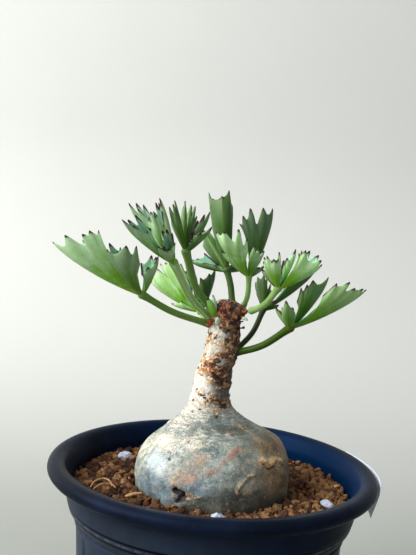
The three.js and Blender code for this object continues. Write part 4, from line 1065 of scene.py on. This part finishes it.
def make_caudex(material):
    rings = respaced(CAUDEX_CURVE, lambda point: next(
        spacing for height, spacing in RING_SPACING if point[1] < height))[1:-1]
    radius, heights = (np.repeat(rings[:, k], CAUDEX_COLUMNS) for k in (0, 1))
    azimuth = np.tile(np.arange(CAUDEX_COLUMNS) * 2 * math.pi / CAUDEX_COLUMNS, len(rings))
    points = caudex_points(radius, heights, azimuth)
    relief, shares = skin_relief(points, azimuth, heights)
    outward = np.stack([np.cos(azimuth), np.sin(azimuth), np.zeros_like(azimuth)], 1)
    points = points + outward * (relief * smooth(radius, 0, 2))[:, None]
    foot = np.array([[0, 0, CAUDEX_PROFILE[0][1]]])
    top = np.array([[STEM_LEAN[-1][1], 0, CAUDEX_PROFILE[-1][1]]])
    faces = grid_faces(len(rings) - 1, CAUDEX_COLUMNS, closed=True)
    count = len(points)
    for column in range(CAUDEX_COLUMNS):
        after = (column + 1) % CAUDEX_COLUMNS
        faces.append((count, after, column))
        faces.append((count + 1, count - CAUDEX_COLUMNS + column, count - CAUDEX_COLUMNS + after))
    values = {name: np.concatenate([share, [0, 1 if name in ("crown", "bark") else 0]])
              for name, share in shares.items()}
    shell = Shell()
    shell.add(np.concatenate([points, foot, top]), faces, **values)
    add_rust_scales(shell)
    add_bark_flakes(shell)
    shell.piece("caudex_skin", "caudex", "caudex", material)


def add_rust_scales(shell):
    for foot, tip, radius in RUST_SCALES:
        foot, span = Vector(foot), Vector(tip) - Vector(foot)
        curve = [foot + span * (k / 8) for k in range(9)]
        radii = [radius * math.sin(math.pi * (0.15 + 0.82 * k / 8)) for k in range(9)]
        shell.add(*strand(curve, radii, 10, 0.6), bark=0.3, rust=1.0)


def add_bark_flakes(shell):
    """Thin curved flakes that hug the stem and lift at one edge."""
    draw = random.Random(FLAKE_SEED)
    flakes = list(PEELING)
    for _ in range(SMALL_FLAKES):
        angle, level = draw.uniform(-180, 180), draw.uniform(*FLAKE_SPAN)
        if level < LIT_FOOT and LIT_SIDE[0] < angle < LIT_SIDE[1] and draw.random() < LIT_SHARE:
            continue
        size = draw.uniform(0.5, 1.5)
        flakes.append((angle, level, size, size * draw.uniform(0.6, 1.3), draw.uniform(0.05, 0.25),
                       draw.uniform(-40, 40)))
    for angle, level, width, height, lift, turn in flakes:
        points = []
        cosine, sine = math.cos(math.radians(turn)), math.sin(math.radians(turn))
        for row in range(FLAKE_POINTS):
            for column in range(FLAKE_POINTS):
                u, v = column / (FLAKE_POINTS - 1) - 0.5, row / (FLAKE_POINTS - 1) - 0.5
                bulge = 1 - 0.35 * (abs(u * 2) ** 3 + abs(v * 2) ** 3) * draw.uniform(0.5, 1.2)
                x, y = u * width * bulge, v * height * bulge
                x, y = x * cosine - y * sine, x * sine + y * cosine
                away = math.degrees(x / max(caudex_radius(min(level, 143)), 2))
                spot = on_caudex(angle + away, min(level + y, 143.6))
                outward = Vector((spot[0] - along(STEM_LEAN, level), spot[1], 0)).normalized()
                raised = 0.12 + lift * max(0, v * 2 + 0.1) ** 1.5 + 0.04 * draw.uniform(-1, 1)
                points.append(tuple(Vector(spot) + outward * raised))
        inner = [tuple(Vector(point) - Vector((point[0], point[1], 0)).normalized() * FLAKE_THICKNESS)
                 for point in points]
        shell.add(points + inner, slab_faces(FLAKE_POINTS, FLAKE_POINTS), bark=1.0,
                  crown=0.6 if level > 137 else 0.0, plate=draw.uniform(0.2, 0.9))


# Soil

def scaled(spot, sizes):
    return Vector((spot.x * sizes[0], spot.y * sizes[1], spot.z * sizes[2]))


def rounded_stone(draw, radius, stretch, cuts, level, rough):
    """Points and faces of a rounded stone: an icosphere cut flat on some sides, with a rough skin."""
    ball, faces = icosphere(level)
    planes = []
    for _ in range(cuts):
        way = Vector((draw.gauss(0, 1), draw.gauss(0, 1), draw.gauss(0, 1))).normalized()
        planes.append((way, draw.uniform(0.6, 0.9)))
    place = Vector((draw.uniform(-99, 99), draw.uniform(-99, 99), draw.uniform(-99, 99)))
    turn = Matrix.Rotation(draw.uniform(0, math.tau), 3, "Z")
    turn = turn @ Matrix.Rotation(draw.uniform(-0.5, 0.5), 3, "X")
    points = []
    for spot in ball:
        for way, limit in planes:
            over = spot.dot(way) - limit
            if over > 0:
                spot -= way * over * 0.85
        lump = 1 + rough * sum(height * noise.noise(spot * scale + place) for scale, height in STONE_LUMPS)
        points.append(turn @ (scaled(spot, stretch) * (radius * lump)))
    return points, faces


def soil_limit(height):
    """Radius of the pot's inner wall at a height."""
    wall = sorted((level, radius) for radius, level in POT_INSIDE)
    return float(np.interp(height, [level for level, _ in wall], [radius for _, radius in wall]))


def fine_share(spot):
    """Share of the red-brown fines, which lie in one patch at the right of the caudex."""
    away = math.hypot((spot.x - FINES[0]) / FINES[2], (spot.y - FINES[1]) / FINES[3])
    return math.exp(-away * away)


def scatter_grains():
    """Grains as (centre, radius, level of detail), thrown like darts so that they overlap only a little."""
    draw = random.Random(GRAIN_SEED)
    taken = [(Vector(centre), max(size) * 0.5) for centre, size, _, _ in PUMICE.values()]
    grains = []
    for tries, smallest, largest, low, high, level, closeness in GRAIN_LAYERS:
        for _ in range(tries):
            size = draw.uniform(smallest, largest)
            angle, height = draw.uniform(-math.pi, math.pi), draw.uniform(low, high)
            inner = caudex_radius(height) + size * 0.75
            outer = soil_limit(height) - size * 0.95
            reach = math.sqrt(draw.uniform(inner ** 2, outer ** 2))
            spot = Vector((reach * math.cos(angle), reach * math.sin(angle), height))
            if fine_share(spot) > 0.4 and size > 1.0:
                continue
            if all((spot - other).length > (size + radius) * closeness for other, radius in taken):
                taken.append((spot, size))
                grains.append((spot, size, level))
    return grains


def make_soil_bed(material):
    surface = [(lerp(SOIL_RADIUS, SOIL_HOLE, k / BED_RINGS), SOIL_BED) for k in range(1, BED_RINGS + 1)]
    profile = [*SOIL_OUTSIDE, *surface, *CAUDEX_HOLE]
    points, deep = [], []
    for radius, height in profile:
        for column in range(SOIL_COLUMNS):
            angle = math.tau * column / SOIL_COLUMNS
            x, y = radius * math.cos(angle), radius * math.sin(angle)
            rough = height == SOIL_BED and radius > SOIL_HOLE
            points.append((x, y, height + (0.5 * noise.noise(Vector((x, y, 0)) * 0.5) if rough else 0)))
            # Painted shade on the bed's top, under the grains
            deep.append(1.0 if height == SOIL_BED else 0.3)
    bed = Shell()
    bed.add(points, tube_faces(len(profile), SOIL_COLUMNS), deep=deep, tone=0.3)
    bed.piece("soil_bed", "soil", "soil", material)


def make_grains(material):
    draw = random.Random(GRAIN_SEED + 1)
    shells = {"soil_grains_front": Shell(), "soil_grains_back": Shell()}
    for spot, size, level in scatter_grains():
        stretch = [draw.uniform(0.85, 1.15) for _ in range(3)]
        rough, faces = rounded_stone(draw, size, stretch, draw.randint(3, 6), level, GRAIN_ROUGHNESS)
        points = [spot + place for place in rough]
        top = max(point.z for point in points)
        if top > GRAIN_TOP:
            points = [point - Vector((0, 0, top - GRAIN_TOP)) for point in points]
        # Painted shade and light: grains are darker at the left, which the caudex shades, and lighter at the
        # right
        tone = min(1, max(0, draw.gauss(0.52 + 0.34 * float(smooth(spot.x, -25, 30)), 0.27)))
        shell = shells["soil_grains_front" if spot.y < 0 else "soil_grains_back"]
        # Painted shade on each grain's lower part, down in the gaps
        shell.add(points, faces, tone=tone, fines=0.75 * fine_share(spot),
                  deep=[float(smooth(83.4 - point.z, 0, 2.2)) * 0.75 for point in points])
    for name, shell in shells.items():
        shell.piece(name, "soil", "soil", material)


def make_litter(material):
    """Dry pieces that lie on the soil, thinner at their ends."""
    shell = Shell()
    for path, radius, flatten in LITTER:
        radii = [radius * (0.35 + 0.65 * math.sin(math.pi * k / LITTER_STEPS) ** 0.5)
                 for k in range(LITTER_STEPS + 1)]
        shell.add(*strand(catmull(path, LITTER_STEPS), radii, 8, flatten))
    shell.piece("soil_litter", "soil", "soil", material)


def make_pumice(name, material):
    centre, size, turn, seed = PUMICE[name]
    rough, faces = rounded_stone(random.Random(seed), 1.0, (1, 1, 1), 7, 4, PUMICE_ROUGHNESS)
    rotation = Matrix.Rotation(math.radians(turn), 3, "Z")
    points = []
    for spot in rough:
        pitted = 1 - 0.1 * max(0, noise.noise(spot * 5)) - 0.05 * noise.noise(spot * 12)
        points.append(rotation @ (scaled(spot, size) * (0.5 * pitted)) + Vector(centre))
    shell = Shell()
    shell.add(points, faces)
    shell.piece(f"{name}_stone", name, "pumice", material)


# Leaves

def petiole_curve(points):
    """Centripetal Catmull-Rom curve through three points, as in the CAD."""
    knots = [np.array(point, float) for point in points]
    knots = [2 * knots[0] - knots[1], *knots, 2 * knots[-1] - knots[-2]]
    curve = []
    for step in range(PETIOLE_STEPS + 1):
        place = (len(points) - 1) * step / PETIOLE_STEPS
        k = min(int(place), len(points) - 2)
        t = place - k
        p0, p1, p2, p3 = knots[k:k + 4]
        d0, d1, d2 = (math.sqrt(np.linalg.norm(b - a)) for a, b in ((p0, p1), (p1, p2), (p2, p3)))
        v1 = ((p1 - p0) / d0 - (p2 - p0) / (d0 + d1) + (p2 - p1) / d1) * d1
        v2 = ((p2 - p1) / d1 - (p3 - p1) / (d1 + d2) + (p3 - p2) / d2) * d1
        curve.append(p1 + v1 * t + (3 * p2 - 3 * p1 - 2 * v1 - v2) * t ** 2
                     + (2 * p1 - 2 * p2 + v1 + v2) * t ** 3)
    return curve


def half_edge(length, teeth, notch, blunt):
    """Outer edge of half a leaflet as (degrees, reach, tooth share) from the tip, with rounded notches."""
    corners = [(0.0, length), *teeth]
    edge = []
    for (first, start, *_), (second, end, *cut) in zip(corners, corners[1:]):
        depth = (cut[0] if cut else notch) * min(start, end) + 0.25
        wide = second - first >= NOTCH_SPAN
        if not wide:
            depth = depth * 0.5 + 0.2
        steps = 12 if wide else 7
        for step in range(steps):
            u = (1 - math.cos(math.pi * step / steps)) / 2
            angle = lerp(first, second, u)
            dip = depth * float(smooth(u, 0.04, 0.4) * smooth(1 - u, 0.04, 0.4))
            span = min(abs(angle - first) * start, abs(second - angle) * end) * math.pi / 180
            reach = lerp(start, end, u) - dip + MUCRO * bell(span, 0.32)
            beyond = angle * length * math.pi / 180 - blunt
            if beyond < 0:
                reach = max(reach, length - 0.2 + 0.3 * (beyond / blunt) ** 2)
            edge.append((angle, reach, max(bell(span, 0.55), bell(max(0, beyond), 0.3) if blunt else 0)))
    edge.append((corners[-1][0], corners[-1][1] + MUCRO, 1.0))
    return edge


def leaflet_edges(length, right, left, notch, blunt):
    """The whole edge as (degrees, reach, tooth share, half's width in degrees), and the rib's column."""
    def mirrored(teeth):
        return [(angle, reach * FAR_HALF, *cut) for angle, reach, *cut in teeth]

    right_edge = half_edge(length, right or mirrored(left), notch, blunt)
    left_edge = half_edge(length, left or mirrored(right), notch, blunt)
    columns = [(-angle, reach, tooth, left_edge[-1][0]) for angle, reach, tooth in reversed(left_edge)]
    columns += [(angle, reach, tooth, right_edge[-1][0]) for angle, reach, tooth in right_edge[1:]]
    return columns, len(left_edge) - 1


def grid_normals(grid):
    """Unit normal at each point of a grid of points."""
    rows, width = len(grid), len(grid[0])
    return [[(grid[r][min(c + 1, width - 1)] - grid[r][max(c - 1, 0)]).cross(
        grid[min(r + 1, rows - 1)][c] - grid[max(r - 1, 0)][c]).normalized()
        for c in range(width)] for r in range(rows)]


def add_leaflet(shell, joint, leaflet, phase, tones, blunt):
    tip, opening, fold, notch, right, left = leaflet
    length = (Vector(tip) - joint).length
    axis = (Vector(tip) - joint).normalized()
    upward = Vector(opening)
    upward = (upward - axis * upward.dot(axis)).normalized()
    across = axis.cross(upward)
    columns, rib_column = leaflet_edges(length, right, left, notch, blunt)
    grid = []
    for share in BLADE_SHARES:
        row = []
        for angle, reach, _, widest in columns:
            lean = math.radians(fold + BLADE_CUP * (1 - 2 * abs(angle) / widest))
            far = math.cos(math.radians(angle)) * reach * share
            out = math.sin(math.radians(abs(angle))) * reach * share
            full = max(math.sin(math.radians(widest)) * length * share, 0.1)
            bend = 0.2 + FOLD_ROUND * full
            rise = (math.hypot(out, bend) - bend) * min(1.5, full / (math.hypot(full, bend) - bend))
            wave = 0.35 * share * share * math.sin(phase + angle * 0.16)
            bow = 4 * BOW * length * share * (1 - share)
            side = 1 if angle >= 0 else -1
            curl = CURL * max(0.0, (share - 0.7) / 0.3) ** 2
            row.append(joint + axis * (far - 0.4 * curl)
                       + upward * (math.cos(lean) * rise + 0.3 * wave - bow + curl * math.sin(lean))
                       + across * (math.sin(lean) * out * side + 0.6 * wave
                                   - side * curl * math.cos(lean) * math.tanh(out / 1.5)))
        grid.append(row)
    normals = grid_normals(grid)
    turned = -1 if normals[len(grid) // 2][rib_column].dot(upward) < 0 else 1
    points = []
    values = {name: [] for name in ("reach", "inner", "rib", "edge", "tooth", "fan")}
    for inner in (1, 0):
        for row, line, share in zip(grid, normals, BLADE_SHARES):
            thick = float(np.interp(share, *BLADE_THICKNESS))
            for spot, normal, (angle, reach, tooth, _) in zip(row, line, columns):
                off_rib = math.sin(math.radians(abs(angle))) * reach * share
                off_edge = (1 - share) * reach
                bulge = 0 if inner else 0.06 * bell(off_rib, 0.55) * (1 - 0.7 * share)
                push = thick / 2 + bulge
                points.append(spot + normal * turned * (push if inner else -push))
                for name, value in (("reach", share), ("inner", float(inner)),
                                    ("rib", bell(off_rib, 0.7) * (1 - inner)),
                                    ("edge", math.exp(-(off_edge / 0.5))),
                                    ("tooth", tooth * math.exp(-(off_edge / 0.9))), ("fan", angle * 0.35)):
                    values[name].append(value)
    shell.add(points, slab_faces(len(grid), len(columns)), **values, **tones)
    ribs = [RIB_REACH * k / RIB_STEPS for k in range(RIB_STEPS + 1)]
    path = [joint + axis * length * share + upward * (0.15 - 4 * BOW * length * share * (1 - share))
            for share in ribs]
    points, faces = strand(path, [lerp(0.65, 0.15, k / RIB_STEPS) for k in range(RIB_STEPS + 1)], RIB_SIDES)
    places = [k // RIB_SIDES for k in range(len(points))]
    shell.add(points, faces, **{**tones, "reach": [k / RIB_STEPS * RIB_REACH for k in places], "rib": 0.3,
                                "stalk": [max(0.0, 0.9 - k / 4) for k in places]})


def make_leaf(name, material):
    petiole, radius, leaflets = LEAVES[name]
    pale, shade, bloom = LEAF_TONES[name]
    tones = {"pale": pale, "shade": shade, "bloom": bloom}
    draw = random.Random(sum(map(ord, name)))
    shell = Shell()
    sunk = SUNK.get(name, 0.0)
    curve = petiole_curve(petiole)[round(PETIOLE_STEPS * sunk):]
    last = len(curve) - 1
    radii = [radius * (0.94 + 0.3 * bell(k, 5) + 0.2 * bell(last - k, 4)) for k in range(last + 1)]
    if sunk:
        radii[:3] = [radii[k] * share for k, share in enumerate(SUNK_START)]
    points, faces = strand(curve, radii, PETIOLE_SIDES)
    groove = [0.0] * len(points)
    if name == GROOVED:
        for k, point in enumerate(points):
            centre = Vector(curve[k // PETIOLE_SIDES])
            facing = (point - centre).normalized().dot(GROOVE_WAY)
            turned = math.degrees(math.acos(max(-1, min(1, facing))))
            groove[k] = bell(turned, 16) - 0.8 * bell(turned - 38, 14)
            points[k] = centre + (point - centre) * (1 - 0.25 * groove[k])
    shell.add(points, faces, stalk=1.0, groove=groove, **tones)
    joint = Vector(curve[-1])
    ball, faces = icosphere(3, radius * 1.22)
    shell.add([spot + joint for spot in ball], faces, stalk=0.9, **tones)
    for place, leaflet in enumerate(leaflets):
        tones["shade"] = min(1.0, max(0.0, shade + LEAFLET_SHADES.get((name, place), 0.0)))
        add_leaflet(shell, joint, leaflet, draw.uniform(0, 9), tones, BLUNT_TIPS.get((name, place), 0.0))
    shell.piece(f"{name}_flesh", name, "leaf", material)


def make_bud(name, material):
    """Young shoot of pointed scales."""
    shell = Shell()
    widths, lengths = zip(*BUD_OUTLINE)
    for place, (foot, tip, radius) in enumerate(BUDS[name]):
        foot, span = Vector(foot), Vector(tip) - Vector(foot)
        side = span.cross(Vector((0, 0, 1))).normalized().cross(span).normalized()
        shares = [k / BUD_STEPS for k in range(BUD_STEPS + 1)]
        curve = [foot + span * share + side * (0.35 * math.sin(math.pi * share)) for share in shares]
        radii = [radius * float(np.interp(share, lengths, widths)) + 0.03 for share in shares]
        points, faces = strand(curve, radii, BUD_SIDES, 0.9)
        reach = [k // BUD_SIDES / BUD_STEPS for k in range(len(points))]
        values = {"rib": [0.5 if k % BUD_SIDES in (0, BUD_SIDES // 2) else 0 for k in range(len(points))],
                  "tooth": [float(smooth(share, 0.84, 0.97)) for share in reach]}
        # All scales are pale and waxy but the first one of the left shoot, and each has some painted shade
        if place or name != "bud_left":
            values.update(reach=[0.9 + 0.3 * share for share in reach], bloom=1.6, inner=0.35, shade=0.3)
        else:
            values.update(reach=[0.3 + 0.3 * share for share in reach], bloom=0.3, inner=0.0, shade=0.1)
        shell.add(points, faces, **values)
    shell.piece(f"{name}_scales", name, "shoot", material)


# Tag

def make_tag(material):
    """Thin film bent round the lip's outer edge, with a narrow tail tucked in below it."""
    points = []
    for face in (1, 0):
        for row, (radius, height) in enumerate(TAG_LEVELS):
            for column in range(TAG_COLUMNS + 1):
                share = column / TAG_COLUMNS
                start = lerp(TAG_SPAN[0] + TAG_TAPER, TAG_SPAN[0], min(1, row / 4))
                azimuth = math.radians(lerp(start, TAG_SPAN[1], share))
                ripple = 0.06 * math.sin(share * 9 + row * 0.7) * (1 - row / len(TAG_LEVELS))
                reach = radius + face * TAG_THICKNESS + ripple
                points.append((reach * math.cos(azimuth), reach * math.sin(azimuth), height))
    shell = Shell()
    shell.add(points, slab_faces(len(TAG_LEVELS), TAG_COLUMNS + 1))
    shell.piece("tag_film", "tag", "tag", material)


# Studio

def make_stage():
    """Floor that curves up into a backdrop far behind the part: painted shade keeps the floor darker and
    painted light makes the backdrop paler there.
    """
    wall = BEND_START + BEND_RADIUS
    profile = [(-FLOOR_EDGE, 0), (0, 0), (BEND_START / 2, 0), (BEND_START, 0)]
    profile += [(BEND_START + BEND_RADIUS * math.sin(math.radians(angle)),
                 BEND_RADIUS - BEND_RADIUS * math.cos(math.radians(angle))) for angle in range(6, 91, 6)]
    profile += [(wall, WALL_HEIGHT)]
    points = [(x, y, z) for y, z in profile for x in (-FLOOR_EDGE, FLOOR_EDGE)]
    shell = Shell()
    shell.add(points, grid_faces(len(profile) - 1, 1), far=[float(smooth(y, 0, wall)) for _, y, _ in points])
    stage = shell.object("backdrop", stage_material())


def make_lights():
    for name, position, size, watts, colour in LIGHTS:
        light = bpy.data.lights.new(name, "AREA")
        light.shape = "DISK"
        light.size = size
        light.energy = watts
        light.color = colour
        holder = bpy.data.objects.new(name, light)
        holder.location = position
        holder.rotation_euler = (LIGHT_TARGET - Vector(position)).to_track_quat("-Z", "Y").to_euler()
        bpy.context.scene.collection.objects.link(holder)
    world = bpy.data.worlds.new("soft_studio")
    world.use_nodes = True
    sky = world.node_tree.nodes["Background"]
    sky.inputs["Color"].default_value = SKY_COLOUR
    sky.inputs["Strength"].default_value = SKY_STRENGTH
    bpy.context.scene.world = world
    bpy.context.scene.view_settings.view_transform = "Standard"


def make_camera():
    elevation, yaw, pitch, roll = (math.radians(angle) for angle in (
        CAMERA_ELEVATION, CAMERA_YAW, CAMERA_PITCH, CAMERA_ROLL))
    ahead = Vector((math.sin(yaw) * math.cos(pitch), math.cos(yaw) * math.cos(pitch), -math.sin(pitch)))
    level = Vector((math.cos(yaw), -math.sin(yaw), 0))
    upright = level.cross(ahead)
    right = level * math.cos(roll) + upright * math.sin(roll)
    up = upright * math.cos(roll) - level * math.sin(roll)
    camera = bpy.data.cameras.new("view")
    camera.lens = CAMERA_LENS
    camera.clip_start = 0.01
    holder = bpy.data.objects.new("view", camera)
    position = Vector((0, -CAMERA_DISTANCE * math.cos(elevation),
                       LIP_CENTRE_HEIGHT + CAMERA_DISTANCE * math.sin(elevation))) * MM
    holder.matrix_world = Matrix.Translation(position) @ Matrix((right, up, -ahead)).transposed().to_4x4()
    bpy.context.scene.collection.objects.link(holder)
    bpy.context.scene.camera = holder


make_camera()
make_pot(plastic_material())
clay = soil_material()
make_soil_bed(clay)
make_grains(clay)
make_litter(litter_material())
make_caudex(skin_material())
flesh = leaf_material()
for leaf_name in LEAVES:
    make_leaf(leaf_name, flesh)
for bud_name in BUDS:
    make_bud(bud_name, flesh)
stone = pumice_material()
for stone_name in PUMICE:
    make_pumice(stone_name, stone)
make_tag(tag_material())
make_stage()
make_lights()
